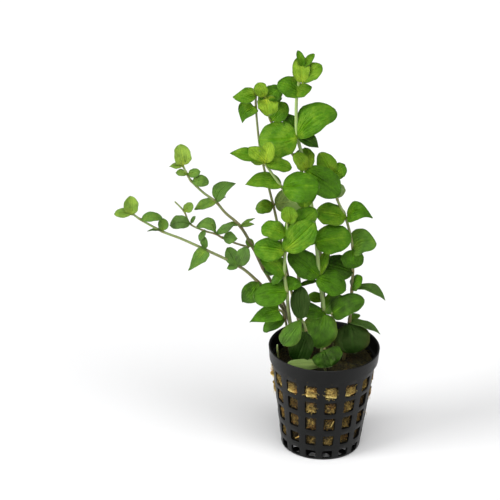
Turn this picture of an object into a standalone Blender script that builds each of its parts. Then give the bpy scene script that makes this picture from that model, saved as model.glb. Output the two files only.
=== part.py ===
"""A young creeping jenny in a plastic net pot filled with rockwool.

Metres, +Z up. The origin is the middle of the pot's base, the pot stands on z = 0, and -Y is the front.
Each stem is a list of its joints from the foot to the tip, and each joint says which leaves grow from it.
Long leaves are objects of their own, a hair's breadth clear of their stem, and short ones are fused to it.
"""

import math
from collections import namedtuple

import bmesh
import bpy
from mathutils import Matrix, Vector

MM = 0.001
CLEARANCE = 0.3 * MM
WELD = 0.002 * MM

# The pot
RIM_RADIUS = 27.5 * MM
COLLAR_RADIUS = 26.9 * MM
COLLAR_BOTTOM = 46.5 * MM
COLLAR_STEP = 0.3 * MM
POT_HEIGHT = 54.0 * MM
BASE_RADIUS = 19.5 * MM
BASE_EDGE = 0.8 * MM
WALL_FLARE = 0.135
PLASTIC = 1.0 * MM
COLUMNS = 15
COLUMN_ANGLE = math.radians(360 / COLUMNS)
WINDOW_ANGLE = math.radians(14.5)
FIRST_WINDOW = math.radians(9.3)
WINDOW_ROWS = ((1.2, 5.5), (8.6, 14.4), (17.6, 25.0), (27.5, 34.4), (36.8, 43.8))
SLOT_INNER_RADIUS = 12.5 * MM
SLOT_OUTER_RADIUS = 17.8 * MM

# The rockwool
WOOL_BOTTOM = 7.0 * MM
WOOL_TOP = 46.0 * MM
WOOL_CROWN = 0.8 * MM
WOOL_GAP = 0.4 * MM
LUMP_HEIGHT = 1.5 * MM

# The plant
OWN_LEAF_LENGTH = 11.8 * MM
LARGE_LEAF_LENGTH = 15.6 * MM
TINY_LEAF_LENGTH = 9.2 * MM
LEAF_THICKNESS = 0.5 * MM
PETIOLE_WIDTH = 1.1 * MM
LEAF_CUP = 0.2
STEM_RESOLUTION = 1
SEATED = 0.4

# Where along a leaf its rows of points lie, and how wide each is, both as shares of the whole leaf
LARGE_LEAF_ROWS = ((0.0, 0.0), (0.14, 0.12), (0.42, 0.95), (0.76, 0.86), (1.0, 0.16))
LEAF_ROWS = ((0.0, 0.0), (0.4, 0.94), (0.78, 0.84), (1.0, 0.16))
TINY_LEAF_ROWS = ((0.0, 0.0), (0.55, 1.0), (1.0, 0.2))

Joint = namedtuple("Joint", "place leaves")
Leaf = namedtuple("Leaf", "direction length width face fold arch")
Shoot = namedtuple("Shoot", "name foot_radius tip_radius joints")


def joint(x, y, z, *leaves):
    """A node of a stem, in mm, with the leaves that grow there."""
    return Joint(Vector((x, y, z)) * MM, leaves)


def leaf(bearing, rise, length, width, lean, fold=0.0, arch=0.07):
    """A leaf from its stem to its tip, in degrees and mm.

    Bearing is seen from above: 0 right, 90 back, 180 left, 270 front. Rise is above level. Lean tips the
    upper face from straight up towards the front. Fold lifts both halves about the midrib, and arch lifts
    the middle.
    """
    level = math.cos(math.radians(rise))
    turn = math.radians(bearing)
    direction = Vector((level * math.cos(turn), level * math.sin(turn), math.sin(math.radians(rise))))
    face = Vector((0.0, -math.sin(math.radians(lean)), math.cos(math.radians(lean))))
    return Leaf(direction, length * MM, width * MM, face, fold, arch)


def shoot(name, foot_diameter, tip_diameter, *joints):
    return Shoot(name, foot_diameter * MM / 2, tip_diameter * MM / 2, joints)


SHOOTS = (
    shoot(
        "tall", 2.2, 1.4,
        joint(-1, 0, 46.5),
        joint(-1, -1, 73, leaf(202, 14, 16.4, 7.5, 30), leaf(35, 29, 12.5, 10, 50),
              leaf(252, -66, 18, 16.5, 75)),
        joint(-4, 0, 92.5, leaf(190, 38, 18.5, 12.5, 52), leaf(351, -20, 15, 12.5, 50),
              leaf(50, 68, 13.5, 4.5, 15)),
        joint(-6, 1, 110.5, leaf(200, 44, 10, 9, 50), leaf(354, 13, 17.3, 15, 55)),
        joint(-9, 3, 129),
        joint(-12.5, 4, 147.5, leaf(354, -35, 21.3, 13.5, 60), leaf(100, 54, 10.5, 10, 60),
              leaf(204, 56, 11, 8, 40)),
        joint(-17, 5, 164, leaf(178, -7, 19, 18.5, 58), leaf(1, 37, 22, 15, 55), leaf(112, 44, 13, 9, 20),
              leaf(310, -30, 11, 6, 30, fold=0.3)),
        joint(-18, 6, 175),
        joint(-18, 6, 186.3, leaf(186, 32, 11, 10.5, 50), leaf(349, 33, 8.2, 7, 45)),
        joint(-17, 6, 193.5, leaf(100, 78, 11.4, 6.5, 80), leaf(348, 38, 13.3, 9, 64)),
        joint(-15.5, 6, 201, leaf(180, 69, 7.9, 3.6, 60), leaf(0, 51, 7.8, 3.6, 60)),
    ),
    shoot(
        "back", 1.6, 1.0,
        joint(-9, 9, 46.5),
        joint(-18, 11, 81.5),
        joint(-25.5, 12, 115.5),
        joint(-27.5, 13, 123.5, leaf(187, -13, 8.8, 7.5, 45), leaf(8, 13, 16.5, 12, 65)),
        joint(-33, 15, 144),
        joint(-35.5, 15, 157),
        joint(-37.5, 15, 175, leaf(190, -52, 10.8, 8.5, 55)),
        joint(-37.5, 15, 182.5, leaf(180, -16, 11.7, 8, 50)),
    ),
    shoot(
        "rosette", 1.8, 1.2,
        joint(1.5, 8, 46.5),
        joint(-1, 8.5, 75, leaf(173, 6, 8.5, 6, 30)),
        joint(-2.5, 9, 95),
        joint(-9.5, 10, 124),
        joint(-15, 11, 145),
        joint(-25, 12, 160),
        joint(-30, 12, 169, leaf(6, 52, 11.4, 9.5, 50)),
        joint(-32.5, 12, 175.5, leaf(110, 78, 8, 9, 70)),
        joint(-33.5, 12, 181.5, leaf(288, -47, 10.5, 10.5, 40), leaf(20, 24, 9, 9, 45),
              leaf(138, 50, 7.5, 6.5, 45)),
    ),
    shoot(
        "front", 1.9, 1.2,
        joint(-11, 4, 46.5),
        joint(-13.5, 5.5, 84, leaf(6, 16, 9, 3, 20)),
        joint(-14.5, 4, 98),
        joint(-13.5, 0, 118),
        joint(-13, -4, 130, leaf(92, 74, 17.5, 13.5, 75), leaf(12, -24, 8.5, 5, 40)),
        joint(-19.5, -4, 136),
        joint(-24, -4, 141.5, leaf(181, 6, 17.3, 9.5, 35), leaf(354, 6, 18.2, 15, 54)),
        joint(-32.5, -4, 154, leaf(183, 17, 17.3, 7, 40, arch=0.12), leaf(5, -15, 13.5, 7.5, 30),
              leaf(176, 62, 11, 7.5, 65), leaf(95, 75, 10.2, 5.5, 72)),
        joint(-34, -4, 158),
    ),
    shoot(
        "right", 1.8, 1.1,
        joint(10, 2, 46.5),
        joint(12, 2.5, 66, leaf(287, -55, 15.5, 18, 60), leaf(353, -18, 16.2, 6.5, 15, arch=0.22),
              leaf(55, 12, 8, 5, 20)),
        joint(12.5, 4, 83.5, leaf(353, -15, 17.2, 7.5, 15, arch=0.33), leaf(335, 58, 9, 8, 25)),
        joint(12.5, 4, 93, leaf(178, 13, 15, 12.5, 55)),
        joint(12, 4, 106, leaf(354, 18, 11.8, 13, 50), leaf(280, -68, 10, 11, 65)),
        joint(8, 5, 121.5, leaf(356, 4, 13, 10, 50, arch=0.3), leaf(180, 12, 15, 12, 45)),
        joint(3.5, 8, 130, leaf(80, 80, 8, 7, -50)),
        joint(0, 9, 143, leaf(166, 60, 12, 8, 55), leaf(350, 32, 8.2, 7.5, 60)),
    ),
    shoot(
        "middle", 1.9, 1.2,
        joint(-13, -6, 46.5),
        joint(-18, -7, 73.5),
        joint(-19.5, -8, 87, leaf(190, -14, 15.5, 13, 45), leaf(0, 70, 8.5, 12.5, 60)),
        joint(-21, -8, 96, leaf(178, 33, 14.3, 10.5, 50), leaf(145, -34, 9, 6.5, 30)),
        joint(-21, -9, 110, leaf(350, 50, 21, 13, 68), leaf(174, 2, 15.5, 12, 45)),
        joint(-20.5, -9, 118.5, leaf(178, 15, 12.8, 9.5, 45), leaf(14, 40, 18, 10.5, 60)),
        joint(-20.5, -9, 125.5, leaf(180, 88, 7.8, 8, 70)),
    ),
    shoot(
        "short_left", 1.4, 1.0,
        joint(-15.5, -3, 46.5),
        joint(-20, -6, 71.5, leaf(180, -35, 13, 9.5, 20)),
        joint(-23, -9, 77.5, leaf(185, -24, 15.8, 10, 42)),
    ),
    shoot(
        "short_middle", 1.5, 1.1,
        joint(-7, -9, 46.5),
        joint(-9.5, -10, 67, leaf(190, -76, 16.5, 11.5, 60)),
        joint(-12.5, -11, 74.5, leaf(218, -48, 15.8, 10, 50), leaf(96, 64, 15.5, 9.5, 60)),
    ),
    shoot(
        "short_right", 1.5, 1.1,
        joint(5, 1, 46.5),
        joint(4.5, -1, 64),
        joint(3, -3, 73.5, leaf(355, 25, 17.3, 11, 50)),
    ),
    shoot(
        "mouth", 1.4, 1.1,
        joint(1, -13.5, 46.5),
        joint(-0.5, -14.5, 51.3, leaf(184, 0, 17.5, 5.5, 60)),
        joint(0, -12, 58.5, leaf(302, -42, 9.5, 15, 45)),
    ),
    shoot(
        "stub", 1.5, 0.8,
        joint(-22.5, -6, 46.5),
        joint(-23.2, -6, 56.5),
    ),
    shoot(
        "upper_left", 1.8, 1.0,
        joint(-13, 3.5, 46.5),
        joint(-20.5, 2.5, 74),
        joint(-31.5, 1, 95, leaf(330, -12, 6.5, 5, 30)),
        joint(-37, 0, 107, leaf(150, 44, 4.5, 4, 40)),
        joint(-43.5, -1, 118.5, leaf(0, 28, 8.5, 3.5, 40), leaf(176, 6, 7, 3, 20)),
        joint(-50.5, -2, 125.5),
        joint(-55.5, -2, 131.5, leaf(22, 50, 12.6, 7.5, 45), leaf(191, -18, 11, 5.5, 35),
              leaf(320, 12, 5.5, 3, 20)),
        joint(-61.5, -3, 136.5),
        joint(-67.5, -3, 142.5, leaf(353, 2, 8.6, 6, 50, arch=0.2)),
        joint(-69.5, -3, 146, leaf(350, 18, 6.5, 5, 40), leaf(180, 10, 5.5, 3.6, 40)),
        joint(-72, -3, 151, leaf(180, 84, 9.8, 8.5, 70), leaf(188, -5, 6.2, 3.6, 40)),
    ),
    shoot(
        "twig", 1.1, 0.8,
        joint(-38.7, -1.5, 107.3),
        joint(-45.5, -4, 110.5),
        joint(-52, -5.5, 114, leaf(352, 0, 7.5, 6.5, 45)),
        joint(-55, -6, 116, leaf(180, 20, 10.2, 6, 50, arch=0.2), leaf(6, 31, 10.7, 4.5, 40)),
        joint(-60.5, -6, 117.5),
        joint(-67.5, -6, 121, leaf(184, -2, 9.8, 7, 50)),
        joint(-70.5, -6, 127.5, leaf(0, 50, 5.8, 4.5, 60)),
        joint(-75, -6, 132.5),
    ),
    shoot(
        "lower_left", 1.8, 1.0,
        joint(-12.5, -1, 46.5),
        joint(-19.5, -2, 72),
        joint(-34, -4, 90, leaf(206, -58, 12.8, 10, 60)),
        joint(-44, -6, 99.5, leaf(160, 59, 10, 7, 60), leaf(345, 68, 11.2, 7, 60),
              leaf(200, -10, 5.5, 4.5, 30)),
        joint(-60, -8, 108.5, leaf(200, -52, 13.4, 7.2, 60), leaf(139, 75, 7.6, 3.6, 50)),
        joint(-72, -9, 114.5),
        joint(-81, -10, 118.5, leaf(69, 79, 6.5, 5, 50), leaf(188, 4, 7.2, 3, 20)),
        joint(-91.5, -10, 124.5, leaf(355, 9, 10.7, 5, 50, arch=0.2)),
        joint(-96, -10, 128, leaf(180, 88, 8.6, 7, 75), leaf(187, -4, 8.1, 5, 50)),
    ),
)


def clear_scene():
    """Start from an empty scene."""
    for item in list(bpy.data.objects):
        bpy.data.objects.remove(item, do_unlink=True)


def collection(name):
    group = bpy.data.collections.new(name)
    bpy.context.scene.collection.children.link(group)
    return group


def material(name, colour, roughness):
    """A plain Principled surface in the part's own colour."""
    surface = bpy.data.materials.new(name)
    surface.use_nodes = True
    shader = surface.node_tree.nodes["Principled BSDF"]
    shader.inputs["Base Color"].default_value = (*colour, 1.0)
    shader.inputs["Roughness"].default_value = roughness
    shader.inputs["Metallic"].default_value = 0.0
    return surface


def add_object(name, shape, surface, group, smooth_angle):
    """Make an object of a finished bmesh, shaded smooth except at its sharp edges."""
    mesh = bpy.data.meshes.new(name)
    shape.to_mesh(mesh)
    shape.free()
    mesh.shade_smooth()
    mesh.set_sharp_from_angle(angle=math.radians(smooth_angle))
    mesh.materials.append(surface)
    item = bpy.data.objects.new(name, mesh)
    group.objects.link(item)
    return item


def wall_radius(height):
    return BASE_RADIUS + WALL_FLARE * height


def turn_round(shape, verts, angle):
    bmesh.ops.rotate(shape, verts=verts, cent=(0, 0, 0), matrix=Matrix.Rotation(angle, 3, "Z"))


def turned_shell(profile):
    """Turn a profile of (radius, height) round the axis, by the angles of the windows and ribs in turn."""
    shell = bmesh.new()
    verts = [shell.verts.new((0.0, -radius, height)) for radius, height in profile]
    edges = [shell.edges.new(pair) for pair in zip(verts, verts[1:])]
    turn_round(shell, verts, FIRST_WINDOW - WINDOW_ANGLE / 2)
    for step in (WINDOW_ANGLE, COLUMN_ANGLE - WINDOW_ANGLE) * COLUMNS:
        made = bmesh.ops.extrude_edge_only(shell, edges=edges)["geom"]
        verts = [piece for piece in made if isinstance(piece, bmesh.types.BMVert)]
        edges = [piece for piece in made if isinstance(piece, bmesh.types.BMEdge)
                 and piece.verts[0] in verts and piece.verts[1] in verts]
        turn_round(shell, verts, step)
    bmesh.ops.remove_doubles(shell, verts=shell.verts, dist=WELD)
    bmesh.ops.recalc_face_normals(shell, faces=shell.faces)
    return shell


def in_window_column(point):
    """Whether a point lies in one of the columns of windows, seen from the axis."""
    azimuth = math.atan2(point.x, -point.y)
    from_column = (azimuth - FIRST_WINDOW) % COLUMN_ANGLE
    return min(from_column, COLUMN_ANGLE - from_column) < WINDOW_ANGLE / 2


def is_window(centre):
    in_row = any(low * MM < centre.z < high * MM for low, high in WINDOW_ROWS)
    return in_row and in_window_column(centre)


def is_base_slot(centre):
    in_ring = SLOT_INNER_RADIUS < centre.xy.length < SLOT_OUTER_RADIUS
    return in_ring and centre.z < WELD and in_window_column(centre)


def build_pot(group):
    """The net pot: its outer skin, turned and with the windows and base slots left out, given a thickness."""
    profile = [(0.0, 0.0), (SLOT_INNER_RADIUS, 0.0), (SLOT_OUTER_RADIUS, 0.0), (BASE_RADIUS - BASE_EDGE, 0.0)]
    profile += [(wall_radius(height * MM), height * MM) for row in WINDOW_ROWS for height in row]
    profile += [(wall_radius(COLLAR_BOTTOM), COLLAR_BOTTOM), (COLLAR_RADIUS, COLLAR_BOTTOM + COLLAR_STEP)]
    profile += [(RIM_RADIUS, POT_HEIGHT)]
    shell = turned_shell(profile)
    openings = []
    for face in shell.faces:
        centre = face.calc_center_median()
        if is_window(centre) or is_base_slot(centre):
            openings.append(face)
    bmesh.ops.delete(shell, geom=openings, context="FACES")
    pot = add_object("pot", shell, material("Black plastic", (0.018, 0.019, 0.021), 0.42), group, 30)
    wall = pot.modifiers.new("Wall thickness", "SOLIDIFY")
    wall.thickness = PLASTIC
    wall.offset = -1.0
    wall.use_even_offset = True


def build_rockwool(group):
    """The plug of rockwool, which fills the pot from above its base and swells into the upper windows."""
    inset = PLASTIC + WOOL_GAP
    brow = wall_radius(WOOL_TOP) - inset
    profile = [(0.0, WOOL_BOTTOM), (wall_radius(WOOL_BOTTOM) - inset, WOOL_BOTTOM)]
    profile += [(wall_radius(height * MM) - inset, height * MM) for row in WINDOW_ROWS[1:] for height in row]
    profile += [(brow, WOOL_TOP - WOOL_CROWN), (0.5 * brow, WOOL_TOP), (0.0, WOOL_TOP)]
    shell = turned_shell(profile)
    swollen = [face for face in shell.faces if is_window(face.calc_center_median())]
    bmesh.ops.poke(shell, faces=swollen, offset=LUMP_HEIGHT)
    add_object("rockwool", shell, material("Rockwool", (0.30, 0.20, 0.07), 0.95), group, 50)


def stem_radius(plant, index):
    share = index / (len(plant.joints) - 1)
    return plant.foot_radius + (plant.tip_radius - plant.foot_radius) * share


def stem_direction(plant, index):
    before = plant.joints[max(index - 1, 0)].place
    after = plant.joints[min(index + 1, len(plant.joints) - 1)].place
    return (after - before).normalized()


def outline_rows(blade):
    if blade.length >= LARGE_LEAF_LENGTH:
        return LARGE_LEAF_ROWS
    if blade.length >= TINY_LEAF_LENGTH:
        return LEAF_ROWS
    return TINY_LEAF_ROWS


def leaf_shape(plant, index, blade, stand_off):
    """A leaf as a small grid bent to its outline, arched along its midrib and cupped across it.

    It starts stand_off from the middle of its stem, on the side that it grows from.
    """
    rows = outline_rows(blade)
    place = plant.joints[index].place
    stem_line = stem_direction(plant, index)
    outward = (blade.direction - blade.direction.dot(stem_line) * stem_line).normalized()
    start = place + outward * stand_off
    if index == len(plant.joints) - 1:
        start -= stem_line * plant.tip_radius
    chord = place + blade.direction * blade.length - start
    along = chord.normalized()
    face = (blade.face - blade.face.dot(along) * along).normalized()
    across = along.cross(face)
    shape = bmesh.new()
    last_row = len(rows) - 1
    bmesh.ops.create_grid(shape, x_segments=2, y_segments=last_row, size=1.0)
    for vert in shape.verts:
        side = vert.co.x
        share, fullness = rows[round((vert.co.y + 1) / 2 * last_row)]
        half = max(fullness * blade.width, PETIOLE_WIDTH) / 2
        arch = blade.arch * 4 * share * (1 - share) * chord.length
        cup = (LEAF_CUP + blade.fold) * abs(side) * (half - PETIOLE_WIDTH / 2)
        vert.co = start + chord * share + across * side * half + face * (arch + cup)
    shape.normal_update()
    bmesh.ops.solidify(shape, geom=shape.faces, thickness=LEAF_THICKNESS)
    bmesh.ops.recalc_face_normals(shape, faces=shape.faces)
    return shape


def drop_flat_slivers(shape):
    """Remove faces that lie back to back on the same points, which welding can leave of a thin sliver."""
    by_points = {}
    for face in shape.faces:
        by_points.setdefault(frozenset(face.verts), []).append(face)
    doubled = [face for faces in by_points.values() if len(faces) > 1 for face in faces]
    bmesh.ops.delete(shape, geom=doubled, context="FACES")


def evaluated_shape(item):
    """The finished mesh of an object as a bmesh, with its modifiers applied and its doubled points welded."""
    bpy.context.view_layer.update()
    evaluated = item.evaluated_get(bpy.context.evaluated_depsgraph_get())
    mesh = bpy.data.meshes.new_from_object(evaluated)
    shape = bmesh.new()
    shape.from_mesh(mesh)
    bpy.data.meshes.remove(mesh)
    bmesh.ops.remove_doubles(shape, verts=shape.verts, dist=WELD)
    bmesh.ops.dissolve_degenerate(shape, edges=shape.edges, dist=WELD)
    bmesh.ops.triangulate(shape, faces=[face for face in shape.faces if len(face.verts) > 4])
    drop_flat_slivers(shape)
    return shape


def stem_shape(plant):
    """A stem as a round tube through its joints, thinner towards the tip, made a closed mesh."""
    curve = bpy.data.curves.new("stem line", "CURVE")
    curve.dimensions = "3D"
    curve.bevel_depth = 1.0
    curve.bevel_resolution = STEM_RESOLUTION
    curve.use_fill_caps = True
    line = curve.splines.new("POLY")
    line.points.add(len(plant.joints) - 1)
    for index, spot in enumerate(plant.joints):
        line.points[index].co = (*spot.place, 1.0)
        line.points[index].radius = stem_radius(plant, index)
    tube = bpy.data.objects.new("stem line", curve)
    bpy.context.scene.collection.objects.link(tube)
    shape = evaluated_shape(tube)
    bpy.data.objects.remove(tube, do_unlink=True)
    bmesh.ops.recalc_face_normals(shape, faces=shape.faces)
    return shape


def fuse_leaves(stem, leaves, cutters, surface):
    """Join the short leaves to their stem by Boolean unions."""
    for number, shape in enumerate(leaves, 1):
        cutter = add_object(f"{stem.name}_short_leaf_{number}", shape, surface, cutters, 60)
        cutter.hide_render = True
        cutter.display_type = "WIRE"
        union = stem.modifiers.new(f"Short leaf {number}", "BOOLEAN")
        union.operation = "UNION"
        union.solver = "EXACT"
        union.object = cutter
    if leaves:
        fused = evaluated_shape(stem)
        stem.modifiers.clear()
        fused.to_mesh(stem.data)
        fused.free()


def build_shoot(plant, group, cutters, stem_surface, leaf_surface):
    """One stem with its short leaves fused on, and each long leaf beside it as an object of its own."""
    stem = add_object("stem_" + plant.name, stem_shape(plant), stem_surface, group, 60)
    short = []
    long_leaves = 0
    for index, spot in enumerate(plant.joints):
        radius = stem_radius(plant, index)
        for blade in spot.leaves:
            if blade.length >= OWN_LEAF_LENGTH:
                long_leaves += 1
                shape = leaf_shape(plant, index, blade, radius + CLEARANCE + LEAF_THICKNESS / 2)
                add_object(f"leaf_{plant.name}_{long_leaves}", shape, leaf_surface, group, 60)
            else:
                short.append(leaf_shape(plant, index, blade, radius * SEATED))
    fuse_leaves(stem, short, cutters, leaf_surface)


def main():
    clear_scene()
    group = collection("Potted creeping jenny")
    cutters = collection("Cutters")
    build_pot(group)
    build_rockwool(group)
    stem_surface = material("Stem", (0.22, 0.30, 0.08), 0.5)
    leaf_surface = material("Leaf", (0.10, 0.27, 0.02), 0.4)
    for plant in SHOOTS:
        build_shoot(plant, group, cutters, stem_surface, leaf_surface)


if __name__ == "__main__":
    main()
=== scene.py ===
"""A potted creeping jenny: its leaves, its stems, the rockwool and the net pot, in a plain pale studio.

Metres, +Z up, -Y is the front. Each stem is a list of its joints from the foot to the tip, in the same places
as in the CAD, and each joint says which leaves grow from it and how old and how shaped they are.
"""

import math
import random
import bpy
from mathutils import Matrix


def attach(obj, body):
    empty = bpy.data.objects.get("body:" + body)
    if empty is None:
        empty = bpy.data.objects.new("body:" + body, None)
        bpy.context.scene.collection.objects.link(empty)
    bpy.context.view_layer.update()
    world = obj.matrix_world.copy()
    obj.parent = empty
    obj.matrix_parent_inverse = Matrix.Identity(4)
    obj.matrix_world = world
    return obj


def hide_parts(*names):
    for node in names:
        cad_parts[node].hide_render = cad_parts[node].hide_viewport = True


bl_info = {
    "name": "Potted creeping jenny",
    "version": (1, 0, 0),
    "blender": (4, 5, 0),
    "location": "View3D > Sidebar > Plant",
    "description": "Makes the leaves, stems, rockwool and net pot of a young creeping jenny",
    "category": "Add Mesh",
}

from collections import namedtuple

import bmesh
import bpy
from bpy.props import FloatProperty, FloatVectorProperty, IntProperty, PointerProperty
from mathutils import Matrix, Vector, noise

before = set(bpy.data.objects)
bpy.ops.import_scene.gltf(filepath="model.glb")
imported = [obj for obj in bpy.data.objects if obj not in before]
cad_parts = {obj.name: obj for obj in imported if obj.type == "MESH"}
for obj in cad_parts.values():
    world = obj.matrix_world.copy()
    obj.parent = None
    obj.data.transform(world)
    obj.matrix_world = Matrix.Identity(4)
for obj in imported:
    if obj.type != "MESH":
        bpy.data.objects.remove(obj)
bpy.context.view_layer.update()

MM = 0.001
WELD = 0.002 * MM

# Edges bent by more than this are sharp, in degrees
PLANT_CREASE = 55
POT_CREASE = 40

# The pot, as in the CAD
RIM_RADIUS = 27.5 * MM
COLLAR_RADIUS = 26.9 * MM
COLLAR_BOTTOM = 46.5 * MM
POT_HEIGHT = 54.0 * MM
BASE_RADIUS = 19.5 * MM
WALL_FLARE = 0.135
COLUMNS = 15
COLUMN_ANGLE = math.radians(360 / COLUMNS)
WINDOW_ANGLE = math.radians(14.5)
FIRST_WINDOW = math.radians(9.3)
WINDOW_ROWS = ((1.2, 5.5), (8.6, 14.4), (17.6, 25.0), (27.5, 34.4), (36.8, 43.8))
SLOT_INNER_RADIUS = 12.5 * MM
SLOT_OUTER_RADIUS = 17.8 * MM
STEPS_PER_WINDOW = 4
STEPS_PER_RIB = 2

# The rockwool, as in the CAD
WOOL_BOTTOM = 7.0 * MM
WOOL_TOP = 46.0 * MM

# The rockwool's surface: its rows and columns of points, and how fine its lumps are, per metre
WOOL_LEVELS = 58
WOOL_STEPS_ROUND = 240
COARSE_LUMPS = 260
FINE_LUMPS = 900
FINEST_LUMPS = 2200
LUMP_SHIFT = Vector((3, 1, 7))

# The loose fibres: the seed of their draws, the share that lies on top and how far out those lie
FIBRE_SEED = 11
TOP_SHARE = 0.3
TOP_RADIUS = 24 * MM

# The stems start this far down in the rockwool
ROOT_DEPTH = 4.0 * MM
TUBE_SIDES = 10
STEPS_PER_JOINT = 7

# How far along a stem its swelling reaches from a joint, and from which age of its tip a stem ends in a bud
NODE_REACH = 1.5 * MM
BUDDING_AGE = 0.8
BUD_LENGTH = 3.2 * MM
BUD_WIDTH = 2.0 * MM

# How a stem's tip rounds off: how far past its last joint, and how thick, both in its tip's radii
TIP_ROUNDING = ((0.5, 0.85), (0.85, 0.5), (1.0, 0.12))

# A leaf's grid: the rows of its stalk, the rows of its blade, and the columns across it
STALK_ROWS = 2
BLADE_ROWS = 18
BLADE_COLUMNS = 18
STALK_LENGTH = 0.7 * MM

# From this clasp on, a leaf's base also reaches round its stem
ROUND_CLASP = 1.3

# How uneven a leaf's face and its margin are, in its half widths
FACE_LUMPS = 0.13
MARGIN_WAVER = 0.11

# A leaf's veins: those on each side that run its length, how they fan out from its base, and those across it
VEINS_ASIDE = 3
FAN_START = 0.45
FAN_POWER = 0.7
CROSS_VEINS = 7.5

Joint = namedtuple("Joint", "place leaves")
Leaf = namedtuple("Leaf", "direction length width face age fold arch curl wave sway base tip widest cup "
                          "clasp worn haze")
Shoot = namedtuple("Shoot", "name foot_radius tip_radius youth joints haze")


def joint(x, y, z, *leaves):
    """A node of a stem, in mm, with the leaves that grow there."""
    return Joint(Vector((x, y, z)) * MM, leaves)


def leaf(bearing, rise, length, width, lean, age, fold=0.0, arch=0.07, curl=0.12, wave=0.08, sway=0.0,
         base=1.9, tip=2.0, widest=0.97, cup=0.1, clasp=1.7, flipped=False, worn=0.0, haze=None):
    """A leaf from its stem to its tip, in degrees and mm.

    Bearing is seen from above: 0 right, 90 back, 180 left, 270 front. Rise is above level. Lean tips the
    upper face from straight up towards the front. Age runs from 0, deep green, to 1, pale new growth, and
    past both ends. Fold raises both halves from the midrib, arch bends the whole leaf, curl drops its tip,
    wave ripples its rim, cup lifts its rim, and sway bends it sideways. Base and tip say how broad each end
    is: 2 is an ellipse's, and 1.2 comes to a point. Widest moves its broadest place: below 1 is nearer the
    base. Clasp is how far the base lies in front of the stem, in stem radii, and past 1.3 it also reaches
    round to the other side. Worn is how brown its rim is. The last value paints a grey sheen on the upper
    face, greying and dulling it towards the underside's colour: 1 is as the underside, and none leaves it
    to the stem.
    """
    level = math.cos(math.radians(rise))
    around = math.radians(bearing)
    direction = Vector((level * math.cos(around), level * math.sin(around), math.sin(math.radians(rise))))
    face = Vector((0.0, -math.sin(math.radians(lean)), math.cos(math.radians(lean))))
    if flipped:
        face = -face
    return Leaf(direction, length * MM, width * MM, face, age, fold, arch, curl, wave, sway, base, tip,
                widest, cup, clasp, worn, haze)


def shoot(name, foot_diameter, tip_diameter, youth, *joints, haze=0.0):
    """A stem with its diameters in mm, the ages of its foot and its tip, and its leaves' usual painted sheen.
    """
    return Shoot(name, foot_diameter * MM / 2, tip_diameter * MM / 2, youth, joints, haze)


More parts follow.
